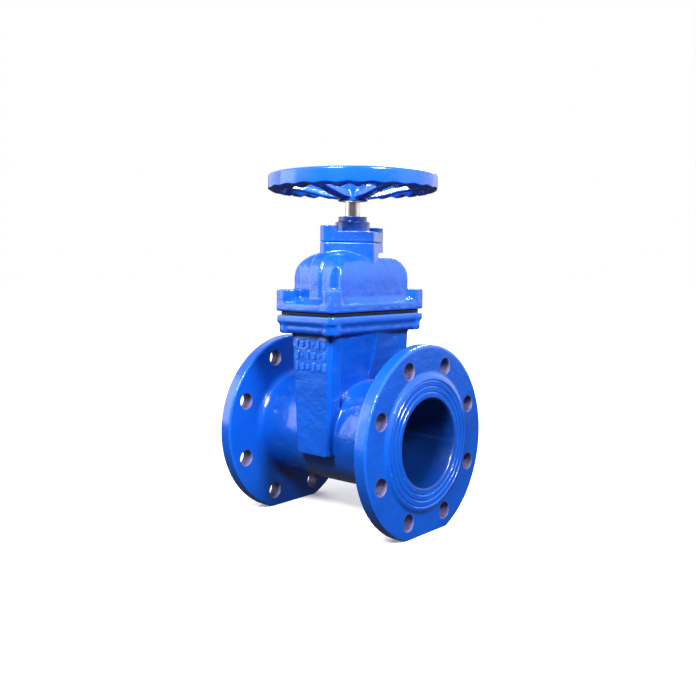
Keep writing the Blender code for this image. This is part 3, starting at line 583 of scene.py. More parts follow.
def make_orange_peel():
    """Height of sprayed paint over cast iron: fine peel, slow waves and a few pimples."""
    group, source, sink = new_group(
        "orange_peel",
        [("Peel Size", 0.0022), ("Peel", 1.0), ("Waves", 1.0), ("Pimples", 1.0)],
        ["Height"])
    place = object_space(group)
    peel = noise_node(group, place, math_node(group, "DIVIDE", 1.0, source.outputs["Peel Size"]), 2.0, 0.45)
    waves = noise_node(group, place, 95.0, 2.0, 0.5)
    spots = noise_node(group, place, 330.0, 1.0)
    pimples = stretch(group, spots, 0.70, 0.82, 0.0, 1.0)
    total = math_node(group, "MULTIPLY", peel, source.outputs["Peel"])
    total = math_node(group, "ADD", total, math_node(group, "MULTIPLY", waves, source.outputs["Waves"]))
    total = math_node(group, "ADD", total, math_node(group, "MULTIPLY", pimples, source.outputs["Pimples"]))
    group.links.new(total, sink.inputs["Height"])
    return group


def make_patches():
    """Slow and quick variation over a surface, both from 0 to 1."""
    group, source, sink = new_group("patches", [("Size", 0.05)], ["Slow", "Quick"])
    place = object_space(group)
    scale = math_node(group, "DIVIDE", 1.0, source.outputs["Size"])
    slow = noise_node(group, place, scale, 3.0, 0.55)
    quick = noise_node(group, place, math_node(group, "MULTIPLY", scale, 9.0), 4.0, 0.6)
    group.links.new(stretch(group, slow, 0.3, 0.7, 0.0, 1.0), sink.inputs["Slow"])
    group.links.new(stretch(group, quick, 0.3, 0.7, 0.0, 1.0), sink.inputs["Quick"])
    return group


def make_edge_wear_and_highlight():
    """Sharp edges and corners, broken up by a fine noise: a painted highlight on the epoxy and enamel, rubbed
    wear on rubber and turned metal.
    """
    group, source, sink = new_group(
        "edge_wear_and_highlight_mask",
        [("Start", 0.52), ("Width", 0.06), ("Breakup", 0.5)],
        ["Mask"])
    point = group.nodes.new("ShaderNodeNewGeometry").outputs["Pointiness"]
    above = math_node(group, "SUBTRACT", point, source.outputs["Start"])
    share = math_node(group, "DIVIDE", above, source.outputs["Width"], clamp=True)
    grain = noise_node(group, object_space(group), 420.0, 3.0)
    broken = math_node(group, "MULTIPLY", grain, source.outputs["Breakup"])
    kept = math_node(group, "SUBTRACT", 1.0, broken)
    group.links.new(math_node(group, "MULTIPLY", share, kept, clamp=True), sink.inputs["Mask"])
    return group


ORANGE_PEEL = make_orange_peel()
PATCHES = make_patches()
EDGE_WEAR_AND_HIGHLIGHT = make_edge_wear_and_highlight()


def place_group(tree, group, **values):
    node = tree.nodes.new("ShaderNodeGroup")
    node.node_tree = group
    for name, value in values.items():
        node.inputs[name.replace("_", " ").title()].default_value = value
    return node


def new_finish(name, colour):
    material = bpy.data.materials.new(name)
    material.use_nodes = True
    material.diffuse_color = (*colour, 1.0)
    tree = material.node_tree
    return material, tree, tree.nodes["Principled BSDF"]


def bump(tree, shader, height, distance):
    node = tree.nodes.new("ShaderNodeBump")
    node.inputs["Distance"].default_value = distance
    node.inputs["Strength"].default_value = 1.0
    tree.links.new(height, node.inputs["Height"])
    tree.links.new(node.outputs["Normal"], shader.inputs["Normal"])


def dimple(tree, shader, distance, **values):
    """Bumps a surface as sprayed paint does."""
    skin = place_group(tree, ORANGE_PEEL, **values)
    bump(tree, shader, skin.outputs["Height"], distance)


def mottle(tree, shader, size, dark, light, gloss, wear_and_highlight_edges=None, worn_and_highlit=None):
    """Colour and gloss that wander over a surface; the edge settings are the start, width and breakup of the
    lighter edges and the last argument their colour: a painted highlight on paint, rubbed wear on rubber and
    metal.
    """
    patches = place_group(tree, PATCHES, size=size)
    colour = mix_colours(tree, patches.outputs["Slow"], dark, light)
    # Lighter colour on sharp edges: a painted highlight on the epoxy and enamel, rubbed wear on rubber and
    # turned metal.
    if wear_and_highlight_edges:
        edges = place_group(tree, EDGE_WEAR_AND_HIGHLIGHT, start=wear_and_highlight_edges[0], width=wear_and_highlight_edges[1], breakup=wear_and_highlight_edges[2])
        colour = mix_colours(tree, edges.outputs["Mask"], colour, worn_and_highlit)
    tree.links.new(colour, shader.inputs["Base Color"])
    tree.links.new(stretch(tree, patches.outputs["Quick"], 0.0, 1.0, *gloss), shader.inputs["Roughness"])
    return patches


def epoxy_paint(name, deep, bright, edge, peel_size, peel, waves, roughness):
    """Thick glossy epoxy over a casting; its sharp edges are painted a lighter blue, a painted highlight."""
    material, tree, shader = new_finish(name, bright)
    mottle(tree, shader, 0.060, deep, bright, (roughness, roughness + 0.05), (0.515, 0.05, 0.4), edge)
    shader.inputs["IOR"].default_value = 1.52
    shader.inputs["Coat Weight"].default_value = 0.6
    shader.inputs["Coat Roughness"].default_value = 0.04
    dimple(tree, shader, 0.00030, peel_size=peel_size, peel=peel, waves=waves, pimples=0.25)
    return material


def bare_hole():
    """Drilled iron with a thin drift of paint over it."""
    material, tree, shader = new_finish("drilled_iron", (0.30, 0.24, 0.28))
    patches = mottle(tree, shader, 0.009, (0.24, 0.20, 0.29), (0.05, 0.07, 0.26), (0.52, 0.70))
    tree.links.new(stretch(tree, patches.outputs["Slow"], 0.0, 1.0, 0.20, 0.0), shader.inputs["Metallic"])
    dimple(tree, shader, 0.0002, peel_size=0.0015, peel=0.4, waves=0.3, pimples=0.0)
    return material


def black_rubber():
    material, tree, shader = new_finish("black_rubber", (0.012, 0.012, 0.013))
    mottle(tree, shader, 0.020, (0.008, 0.008, 0.009), (0.020, 0.020, 0.021), (0.42, 0.62),
           (0.53, 0.08, 0.7), (0.05, 0.05, 0.052))
    dimple(tree, shader, 0.0001, peel_size=0.0006, peel=0.6, waves=0.4, pimples=0.0)
    return material


def turned_metal(name, dark, light, rough_low, rough_high, pitch):
    """Lathe-turned metal: fine rings along Z with streaks, and slow tarnish."""
    material, tree, shader = new_finish(name, light)
    worn_and_highlit = tuple(min(1.0, c * 1.2) for c in light)
    mottle(tree, shader, 0.012, dark, light, (rough_low, rough_high), (0.52, 0.06, 0.5), worn_and_highlit)
    shader.inputs["Metallic"].default_value = 1.0
    wave = tree.nodes.new("ShaderNodeTexWave")
    wave.bands_direction = "Z"
    wave.inputs["Scale"].default_value = 1.0 / pitch / 3.0
    wave.inputs["Distortion"].default_value = 0.8
    wave.inputs["Detail"].default_value = 2.0
    tree.links.new(object_space(tree), wave.inputs["Vector"])
    bump(tree, shader, wave.outputs["Fac"], 0.00001)
    return material


def moulded(name, dark, light, roughness, subsurface):
    """Moulded plastic or wax with a faint flow mottling."""
    material, tree, shader = new_finish(name, light)
    mottle(tree, shader, 0.010, dark, light, (roughness, roughness + 0.12))
    shader.inputs["Subsurface Weight"].default_value = subsurface
    shader.inputs["Subsurface Scale"].default_value = 0.002
    dimple(tree, shader, 0.00015, peel_size=0.0012, peel=0.4, waves=0.6, pimples=0.1)
    return material


DEEP_BLUE = (0.003, 0.082, 0.440)
BRIGHT_BLUE = (0.005, 0.108, 0.560)
# The third colour of each paint below is a lighter tint for sharp edges: a painted highlight where rounded
# edges catch the studio light.
EDGE_HIGHLIGHT_BLUE = (0.020, 0.170, 0.700)
EPOXY = epoxy_paint("blue_epoxy", DEEP_BLUE, BRIGHT_BLUE, EDGE_HIGHLIGHT_BLUE, 0.0026, 1.0, 1.2, 0.20)
ENAMEL = epoxy_paint("wheel_enamel", (0.004, 0.092, 0.560), (0.006, 0.125, 0.680), (0.03, 0.20, 0.80),
                     0.0032, 0.8, 1.0, 0.15)
# Inside the waterway and the wedge's room the same epoxy is painted far darker: a painted shade for the dim
# bore.
BORE_PAINTED_SHADE = epoxy_paint("bore_painted_shade", (0.0015, 0.030, 0.165), (0.002, 0.042, 0.235), (0.010, 0.080, 0.400),
                     0.0030, 0.8, 1.2, 0.34)
DRILLED = bare_hole()
RUBBER = black_rubber()
STAINLESS = turned_metal("stainless", (0.48, 0.45, 0.40), (0.78, 0.75, 0.70), 0.14, 0.24, 0.0003)
BRASS = turned_metal("brass", (0.52, 0.34, 0.12), (0.80, 0.58, 0.26), 0.22, 0.36, 0.0004)
ZINC = turned_metal("zinc_steel", (0.42, 0.43, 0.45), (0.66, 0.67, 0.69), 0.26, 0.40, 0.0005)
NYLON = moulded("nylon", (0.72, 0.69, 0.60), (0.84, 0.82, 0.74), 0.38, 0.25)
WAX = moulded("seal_wax", (0.010, 0.070, 0.500), (0.020, 0.110, 0.640), 0.40, 0.10)


# ---------------------------------------------------------------- body casting
def barrel_profile():
    """Radius and distance along the bore, from one raised face to the other."""
    half = HALF_LENGTH
    back = FLANGE_BACK
    side = [(0.0, half), (SHOULDER_R, half), (SHOULDER_R + 0.0020, half - 0.0006),
            (RAISED_R - 0.0012, half - 0.0022), (RAISED_R + 0.0010, half - RAISED_H),
            (FLANGE_R, half - RAISED_H), (FLANGE_R, back)]
    side += arc(BARREL_R + NECK_FILLET, back - NECK_FILLET, NECK_FILLET, 90, 180, 8)
    return side + [(radius, -along) for radius, along in reversed(side)]


def chamber_rings(inset, foot, top, half_y):
    rings = []
    for height, middle, ends in CHAMBER_LEVELS:
        at = min(max(height, foot), top)
        x_mid = max(middle - inset, SEAT_X) if inset else middle
        x_end = max(ends - inset, SEAT_X) if inset else ends
        outline = [(x_mid, 0.0), (x_end, half_y), (-x_end, half_y),
                   (-x_mid, 0.0), (-x_end, -half_y), (x_end, -half_y)]
        rings.append(level(outline, at))
    if top > CHAMBER_LEVELS[-1][0]:
        rings.append([(x, y, up(top)) for x, y, z in rings[-1]])
    if foot < CHAMBER_LEVELS[0][0]:
        rings.insert(0, [(x, y, up(foot)) for x, y, z in rings[0]])
    return rings


def add_guide_boxes(bm):
    for side in (1, -1):
        rings = []
        for height, half_x, reach in ((BOX_FOOT, BOX_FOOT_X, BOX_FOOT_Y),
                                      (BOX_FOOT + 0.0015, BOX_FOOT_X + 0.0010, BOX_FOOT_Y + 0.0005),
                                      (TIER_FOOT + 0.002, BOX_TOP_X, BOX_TOP_Y)):
            edge = BOX_CHAMFER
            outline = [(-half_x, BOX_INNER_Y), (half_x, BOX_INNER_Y), (half_x, reach - edge),
                       (half_x - edge, reach), (edge - half_x, reach), (-half_x, reach - edge)]
            rings.append([(x, side * y, up(height)) for x, y in outline])
        add_loft(bm, rings)


def add_parting_ribs(bm):
    """The mould's joint line: a low rib down the middle of both chamber walls."""
    half_y = 0.0016
    proud = 0.0017
    for side in (1, -1):
        rings = []
        for height, middle, ends in CHAMBER_LEVELS:
            outline = [(side * (middle - 0.004), -half_y), (side * (middle + proud), -half_y),
                       (side * (middle + proud), half_y), (side * (middle - 0.004), half_y)]
            rings.append(level(outline, height))
        add_loft(bm, rings)


def add_foundry_marks(bm):
    """Three rows of plain raised bars and dots high on the guide boxes' outer faces."""
    lean = (BOX_TOP_Y - BOX_FOOT_Y) / (TIER_FOOT - BOX_FOOT)
    for side in (1, -1):
        for row, height in enumerate(MARK_ROWS):
            for column in range(MARK_COLUMNS):
                x = (column - (MARK_COLUMNS - 1) / 2) * MARK_PITCH
                reach = BOX_FOOT_Y + lean * (height - BOX_FOOT)
                tall, wide = MARK_SHAPES[(row * 2 + column) % len(MARK_SHAPES)]
                rings = []
                for proud, shrink in ((-0.0010, 0.0), (MARK_PROUD * 0.6, 0.0), (MARK_PROUD, 0.0005)):
                    outline = rounded_rectangle(wide - shrink, tall - shrink, (wide - shrink) * 0.6, 4)
                    face = reach + proud
                    rings.append([(x + a, side * (face + lean * b), up(height + b)) for a, b in outline])
                add_loft(bm, rings)


def hole_profile(radius, inner, outer, lip):
    """A hole's shape along its axis with both mouths rounded over by lip."""
    steps = 4
    points = [(0.0, inner - OVERRUN), (radius + lip, inner - OVERRUN)]
    points += arc(radius + lip, inner + lip, lip, 270, 180, steps)
    points += arc(radius + lip, outer - lip, lip, 180, 90, steps)
    points += [(radius + lip, outer + OVERRUN), (0.0, outer + OVERRUN)]
    return points


def ring_groove(radius, face, side):
    half = RING_HALF
    depth = RING_DEPTH
    return [(radius - half, side * (face + 0.001)), (radius - half, side * face),
            (radius - half * 0.4, side * (face - depth * 0.8)), (radius, side * (face - depth)),
            (radius + half * 0.4, side * (face - depth * 0.8)), (radius + half, side * face),
            (radius + half, side * (face + 0.001))]


def body_cuts():
    """Clean cuts in turn: the waterway, the wedge's room, its guide channels, the drilling and feet."""
    waterway = bmesh.new()
    # Material 2 on the waterway and the wedge's room is the darker epoxy, a painted shade.
    add_turned(waterway, hole_profile(BORE_R, -HALF_LENGTH, HALF_LENGTH, 0.0020), FINE, along_bore(),
               material=2)
    cavity = bmesh.new()
    add_loft(cavity, chamber_rings(WALL, 0.0, BODY_TOP + OVERRUN, CAVITY_Y), material=2)
    channels = bmesh.new()
    for side in (1, -1):
        ys = sorted((side * (CAVITY_Y - 2 * OVERRUN), side * CHANNEL_Y))
        add_box(channels, (-CHANNEL_X, ys[0], up(CHANNEL_FLOOR)),
                (CHANNEL_X, ys[1], up(BODY_TOP) + 2 * OVERRUN))
    drilling = bmesh.new()
    for i in range(BOLT_COUNT):
        angle = (i + 0.5) * 2 * math.pi / BOLT_COUNT
        place = along_bore(BOLT_CIRCLE_R * math.cos(angle), BOLT_CIRCLE_R * math.sin(angle))
        for low, high in ((FLANGE_BACK, HALF_LENGTH - RAISED_H), (RAISED_H - HALF_LENGTH, -FLANGE_BACK)):
            add_turned(drilling, hole_profile(BOLT_HOLE_R, low, high, 0.0006), ROUND, place, material=1)
    for radius in SEALING_RINGS:
        for side in (1, -1):
            add_turned(drilling, ring_groove(radius, HALF_LENGTH, side), FINE, along_bore(), closed=True)
    for x, y in corners(SCREW_X, SCREW_Y):
        add_post(drilling, SCREW_HOLE_R, BODY_TOP - SCREW_HOLE_DEPTH, BODY_TOP + OVERRUN, upright(x, y),
                 SMALL_HOLE, material=1)
    reach = 2 * HALF_LENGTH
    add_box(drilling, (-reach, -reach, -FLANGE_R), (reach, reach, 0.0))
    return waterway, cavity, channels, drilling


def make_body():
    bm = bmesh.new()
    add_turned(bm, barrel_profile(), FINE, along_bore())
    add_loft(bm, chamber_rings(0.0, CHAMBER_LEVELS[0][0], TIER_FOOT + 0.001, CHAMBER_Y))
    add_guide_boxes(bm)
    add_parting_ribs(bm)
    half_x = RIM_X - TIER_INSET
    half_y = RIM_Y - TIER_INSET
    low = rounded_rectangle(half_x - TIER_INSET, half_y - TIER_INSET, RIM_CORNER_R)
    high = rounded_rectangle(half_x, half_y, RIM_CORNER_R)
    add_loft(bm, [level(low, TIER_FOOT), level(high, TIER_FOOT + TIER_INSET), level(high, RIM_FOOT + 0.001)])
    rim = rounded_rectangle(RIM_X, RIM_Y, RIM_CORNER_R)
    add_loft(bm, [level(rim, RIM_FOOT), level(rim, BODY_TOP)])
    for x, y in corners(SCREW_X, SCREW_Y):
        add_turned(bm, [(0.0, TIER_FOOT - 0.0010), (BODY_LUG_R - 0.0015, TIER_FOOT - 0.0010),
                        (BODY_LUG_R, TIER_FOOT + 0.0010), (BODY_LUG_R, RIM_FOOT + 0.001),
                        (0.0, RIM_FOOT + 0.001)], ROUND, upright(x, y))
    body = cast_in_one("valve_body", bm, BODY_GRAIN, 3)
    ripple(body, *BODY_RIPPLE, lambda at: 1.0 if abs(at.x) < 0.080 and at.z < up(RIM_FOOT) else 0.25)
    marks = bmesh.new()
    add_foundry_marks(marks)
    unite(body, marks)
    for cut in body_cuts():
        carve(body, cut)
    shade(body)
    clothe(body, "housing", (EPOXY, DRILLED, BORE_PAINTED_SHADE), "blue_epoxy", "body")


# ---------------------------------------------------------------- bonnet casting
def dome_rings(inset, foot):
    half_x = DOME_X - inset
    half_y = DOME_Y - inset
    rise = DOME_TOP - DOME_SPRING - inset
    rings = [level(rounded_rectangle(half_x, half_y, DOME_CORNER_R), foot)]
    steps = 14
    for i in range(steps + 1):
        angle = math.pi / 2 * i / steps
        draw_in = DOME_ROUND * (1 - math.cos(angle))
        radius = min(DOME_CORNER_R + draw_in * 0.5, half_x - draw_in - 0.001)
        rings.append(level(rounded_rectangle(half_x - draw_in, half_y - draw_in, radius),
                           DOME_SPRING + rise * math.sin(angle)))
    return rings


def add_dome_ribs(bm):
    reach = DOME_Y + RIB_PROUD
    steps = 12
    for side in (1, -1):
        profile = [(reach - 0.020, BONNET_FOOT + 0.001), (reach, BONNET_FOOT + 0.001)]
        for i in range(steps + 1):
            angle = math.pi / 2 * i / steps
            profile.append((reach - DOME_ROUND * (1 - math.cos(angle)),
                            DOME_SPRING + (DOME_TOP - DOME_SPRING) * math.sin(angle)))
        profile.append((reach - 0.030, DOME_TOP - 0.001))
        add_loft(bm, [[(x, side * y, up(z)) for y, z in profile] for x in (-RIB_HALF, RIB_HALF)])


def add_skirt(bm):
    """The sloping fillet between the dome and its square flange."""
    low = rounded_rectangle(DOME_X + 0.005, DOME_Y + 0.009, DOME_CORNER_R)
    high = rounded_rectangle(DOME_X, DOME_Y, DOME_CORNER_R)
    foot = BONNET_FOOT + BONNET_RIM
    add_loft(bm, [level(low, foot - 0.001), level(low, foot + 0.0012), level(high, foot + 0.0060)])


def add_corner_bosses(bm):
    low = BONNET_FOOT + 0.001
    for x, y in corners(SCREW_X, SCREW_Y):
        add_post(bm, BOSS_R, low, BOSS_TOP, upright(x, y))
        outer_x = math.copysign(RIM_X - 0.0006, x)
        outer_y = math.copysign(RIM_Y - 0.0006, y)
        xs = sorted((x, outer_x))
        ys = sorted((y, outer_y))
        add_box(bm, (xs[0], ys[0], up(low)), (xs[1], ys[1], up(BOSS_TOP) - 0.0006))


def add_wrench_pockets(bm):
    """Upright hollows over the bosses; the dome curves away from them in a pointed arch."""
    for x, y in corners(SCREW_X, SCREW_Y):
        add_post(bm, POCKET_R, BOSS_TOP, POCKET_TOP, upright(x, y))


def make_bonnet():
    bm = bmesh.new()
    rim = rounded_rectangle(RIM_X, RIM_Y, RIM_CORNER_R)
    add_loft(bm, [level(rim, BONNET_FOOT), level(rim, BONNET_FOOT + BONNET_RIM)])
    add_loft(bm, dome_rings(0.0, BONNET_FOOT + 0.001))
    add_dome_ribs(bm)
    add_skirt(bm)
    pad = rhombus(LUG_R, PAD_X, PAD_NOSE_R)
    add_loft(bm, [level(pad, PAD_FOOT), level(pad, PAD_TOP)])
    add_corner_bosses(bm)
    bonnet = cast_in_one("bonnet_cover", bm, BONNET_GRAIN, 0)
    pockets = bmesh.new()
    add_wrench_pockets(pockets)
    carve(bonnet, pockets)
    fuse(bonnet, BONNET_GRAIN, 3)
    calm_below = up(BONNET_FOOT) + 0.004
    calm_above = up(PAD_TOP) - 0.003
    ripple(bonnet, *BONNET_RIPPLE, lambda at: 1.0 if calm_below < at.z < calm_above else 0.0)
    hollow = bmesh.new()
    add_loft(hollow, dome_rings(WALL, BONNET_FOOT - OVERRUN))
    carve(bonnet, hollow)
    holes = bmesh.new()
    for x, y in corners(SCREW_X, SCREW_Y):
        add_stepped_hole(holes, BONNET_FOOT - OVERRUN, BOSS_TOP, BOSS_POCKET, ROUND, upright(x, y))
    for y in (LUG_Y, -LUG_Y):
        add_post(holes, LUG_HOLE_R, PAD_HOLE_FLOOR, PAD_TOP + OVERRUN, upright(0.0, y), SMALL_HOLE,
                 material=1)
    add_turned(holes, [(0.0, PAD_FOOT), (SHANK_R + GAP, PAD_FOOT), (SHANK_R + GAP, THRUST_FLOOR),
                       (THRUST_R, THRUST_FLOOR), (THRUST_R, PAD_TOP + OVERRUN), (0.0, PAD_TOP + OVERRUN)],
               ROUND, upright(), material=1)
    carve(bonnet, holes)
    shade(bonnet)
    clothe(bonnet, "housing", (EPOXY, DRILLED), "blue_epoxy", "bonnet")


# ---------------------------------------------------------------- gland
def make_gland():
    foot = PAD_TOP + GAP
    bm = bmesh.new()
    outline = rhombus(LUG_R - 0.0002, PAD_X - 0.0002, PAD_NOSE_R)
    add_loft(bm, [level(outline, foot), level(outline, PLATE_TOP)])
    for y in (LUG_Y, -LUG_Y):
        add_post(bm, LUG_R - 0.0002, foot, LUG_TOP, upright(0.0, y))
    add_turned(bm, [(0.0, foot), (NECK_LOW_R, foot), (NECK_LOW_R, NECK_STEP), (NECK_HIGH_R, NECK_STEP),
                    (NECK_HIGH_R, NECK_TOP), (0.0, NECK_TOP)], ROUND, upright())
    gland = cast_in_one("gland_plate", bm, GLAND_GRAIN, 3)
    calm_below = up(foot) + 0.003
    calm_above = up(NECK_TOP) - 0.001
    ripple(gland, *GLAND_RIPPLE, lambda at: 1.0 if calm_below < at.z < calm_above else 0.0)
    holes = bmesh.new()
    add_turned(holes, [(0.0, foot - OVERRUN), (THRUST_R, foot - OVERRUN), (THRUST_R, THRUST_ROOF),
                       (STEM_R + GAP, THRUST_ROOF), (STEM_R + GAP, WIPER_FOOT - GAP),
                       (WIPER_R + GAP, WIPER_FOOT - GAP), (WIPER_R + GAP, NECK_TOP - 0.0006),
                       (WIPER_R + 0.0010, NECK_TOP + 0.0002), (WIPER_R + 0.0010, NECK_TOP + OVERRUN),
                       (0.0, NECK_TOP + OVERRUN)], ROUND, upright())
    for y in (LUG_Y, -LUG_Y):
        add_stepped_hole(holes, foot - OVERRUN, LUG_TOP, LUG_POCKET, 32, upright(0.0, y))
    carve(gland, holes)
    shade(gland)
    clothe(gland, "housing", (EPOXY, DRILLED), "blue_epoxy", "gland")


# ---------------------------------------------------------------- gasket
def make_gasket():
    """A black sheet that bulges a little where the bolts squeeze it."""
    low = BODY_TOP + GAP
    high = BONNET_FOOT - GAP
    bm = bmesh.new()
    rings = []
    steps = 6
    for i in range(steps + 1):
        share = i / steps
        inset = GASKET_INSET - GASKET_BULGE * math.sin(math.pi * share)
        outline = rounded_rectangle(RIM_X - inset, RIM_Y - inset, RIM_CORNER_R)
        rings.append(level(outline, low + (high - low) * share))
    add_loft(bm, rings)
    gasket = object_from("bonnet_gasket_sheet", bm)
    opening = bmesh.new()
    window = rounded_rectangle(0.0325, 0.0600, 0.010)
    add_loft(opening, [level(window, low - OVERRUN), level(window, high + OVERRUN)])
    for x, y in corners(SCREW_X, SCREW_Y):
        add_post(opening, SCREW_HOLE_R, low - OVERRUN, high + OVERRUN, upright(x, y), SMALL_HOLE)
    carve(gasket, opening)
    shade(gasket, 50.0)
    clothe(gasket, "housing", (RUBBER,), "black_rubber", "bonnet_gasket")


# ---------------------------------------------------------------- handwheel
def rim_section(angle):
    """Radius and height round one slice of the rim: an upright band with a scalloped grip below."""
    wave = 0.5 + 0.5 * math.cos(SCALLOPS * angle)
    swell = SCALLOP_DEPTH * wave
    lip = RIM_LOW + 0.0016 - 0.0014 * wave
    inner = WHEEL_R - RIM_WIDTH
    points = [(inner, RIM_LOW + 0.0060), (inner + 0.0010, RIM_LOW + 0.0035 - swell * 0.4)]
    points += arc(inner + 0.0055, RIM_LOW - swell + 0.0035, 0.0036, 200, 300, 5)
    points += [(WHEEL_R - 0.0065, RIM_LOW - swell * 0.75 + 0.0002),
               (WHEEL_R - 0.0030, RIM_LOW - swell * 0.35 + 0.0003)]
    points += arc(WHEEL_R - 0.0014, lip + 0.0014, 0.0014, 270, 360, 4)
    points += arc(WHEEL_R - 0.0029, RIM_HIGH - 0.0029, 0.0029, 0, 90, 8)
    points += arc(inner + 0.0050, RIM_HIGH - 0.0050, 0.0050, 90, 180, 6)
    return points


def add_rim(bm):
    count = SCALLOPS * 12
    loops = []
    for i in range(count):
        angle = 2 * math.pi * i / count
        loops.append([bm.verts.new((radius * math.cos(angle), radius * math.sin(angle), up(height)))
                      for radius, height in rim_section(angle)])
    for i in range(count):
        here = loops[i]
        there = loops[(i + 1) % count]
        for k in range(len(here)):
            n = (k + 1) % len(here)
            bm.faces.new((here[k], there[k], there[n], here[n]))


def add_spoke(bm, number):
    """A tapered arm that climbs from the hub's foot to the inside of the rim."""
    turn = Matrix.Rotation(SPOKE_START + number * 2 * math.pi / SPOKES, 4, "Z")
    half = 0.0080
    stations = (
        (HUB_R - 0.006, HUB_FOOT + 0.0015, half + 0.001),
        (HUB_R + 0.016, HUB_FOOT + 0.0050, half),
        (HUB_R + 0.040, HUB_FOOT + 0.0115, half - 0.001),
        (WHEEL_R - RIM_WIDTH + 0.004, RIM_LOW + 0.0035, half + 0.001),
    )
    rings = []
    for along, foot, wide in stations:
        section = ((-wide, foot + 0.002), (-wide * 0.6, foot), (wide * 0.6, foot), (wide, foot + 0.002),
                   (wide * 0.8, foot + 0.0085), (-wide * 0.8, foot + 0.0085))
        rings.append([turn @ Vector((along, across, up(height))) for across, height in section])
    add_loft(bm, rings)


def make_handwheel():
    bm = bmesh.new()
    add_turned(bm, [(0.0, HUB_FOOT), (HUB_R, HUB_FOOT), (HUB_R - 0.0015, HUB_TOP), (0.0, HUB_TOP)],
               ROUND, upright())
    for number in range(SPOKES):
        add_spoke(bm, number)
    wheel = cast_in_one("handwheel_casting", bm, WHEEL_GRAIN, 3)
    rim = bmesh.new()
    add_rim(rim)
    unite(wheel, rim)
    ripple(wheel, *WHEEL_RIPPLE, lambda at: 1.0)
    half = SQUARE / 2 + GAP
    carve_box(wheel, (-half, -half, up(HUB_FOOT) - OVERRUN), (half, half, up(HUB_TOP) + OVERRUN))
    shade(wheel)
    clothe(wheel, "spindle", (ENAMEL,), "wheel_enamel", "handwheel")


# ---------------------------------------------------------------- stem
def thread_dip(height, turn, slack):
    """Left-hand trapezoidal groove, from 0 on the crest to 1 in the root."""
    phase = (height / THREAD_PITCH + turn / (2 * math.pi)) % 1.0
    return min(max((abs(phase - 0.5) * 2 - 0.37 - slack) / 0.26, 0.0), 1.0)


def stem_radius(station, turn):
    """Threaded where the station asks for it, plain round elsewhere."""
    height, base, share = station
    return base - THREAD_DEPTH * share * thread_dip(height, turn, 0.0)


def nut_radius(station, turn):
    """The stem's thread with room at its crests, roots and flanks."""
    return THREAD_R + GAP - THREAD_DEPTH * thread_dip(station[0], turn, NUT_SLACK)


def make_stem():
    stations = [(STEM_FOOT, THREAD_R - 0.0026, 0.0)]
    length = THREAD_END - 0.0040 - STEM_FOOT
    count = round(length / THREAD_PITCH * THREAD_STEPS)
    for i in range(1, count + 1):
        height = STEM_FOOT + length * i / count
        share = min(1.0, (height - STEM_FOOT) / 0.0015, (THREAD_END - 0.0040 - height) / 0.003)
        stations.append((height, min(THREAD_R, THREAD_R - 0.0026 + (height - STEM_FOOT)), max(share, 0.0)))
    stations += [(THREAD_END - 0.0030, THREAD_R, 0.0), (THREAD_END, SHANK_R, 0.0)]
    for height, radius in ((COLLAR_FOOT - 0.0006, SHANK_R), (COLLAR_FOOT, SHANK_R + 0.0005),
                           (COLLAR_FOOT, COLLAR_R - 0.0005), (COLLAR_FOOT + 0.0005, COLLAR_R),
                           (COLLAR_TOP - 0.0005, COLLAR_R), (COLLAR_TOP, COLLAR_R - 0.0005),
                           (COLLAR_TOP, STEM_R + 0.0004), (COLLAR_TOP + 0.0004, STEM_R),
                           (HUB_FOOT - 0.0016, STEM_R), (HUB_FOOT - 0.0010, STEM_R - 0.0006)):
        stations.append((height, radius, 0.0))
    bm = bmesh.new()
    add_skin(bm, stations, stem_radius, ROUND, upright())
    stem = object_from("turned_stem", bm)
    square = bmesh.new()
    half = SQUARE / 2
    add_soft_box(square, (-half, -half, up(HUB_FOOT) - 0.002), (half, half, up(STEM_TOP)), 0.0005)
    unite(stem, square)
    hole = bmesh.new()
    floor = STEM_TOP - TAPPED_DEPTH
    add_turned(hole, [(0.0, floor), (LUG_HOLE_R, floor), (LUG_HOLE_R, STEM_TOP - 0.0005),
                      (0.0048, STEM_TOP + MOUTH_PROUD), (0.0048, STEM_TOP + OVERRUN),
                      (0.0, STEM_TOP + OVERRUN)], SMALL_HOLE, upright())
    carve(stem, hole)
    shade(stem, 30.0)
    clothe(stem, "spindle", (STAINLESS,), "stainless", "stem")


# ---------------------------------------------------------------- wedge
def upright_rings(outline, half_x, lip, shrunk):
    """Rings along X through an outline in Y and Z, drawn in at both faces."""
    rings = []
    for x, ring in ((-half_x, shrunk), (lip - half_x, outline), (half_x - lip, outline), (half_x, shrunk)):
        rings.append([(x, y, up(z) + TRAVEL) for y, z in ring])
    return rings


def wedge_outline(radius, top):
    """Half round below the bore axis, straight sides above it."""
    return arc(0.0, 0.0, radius, 180, 360, 48) + [(radius, top), (-radius, top)]


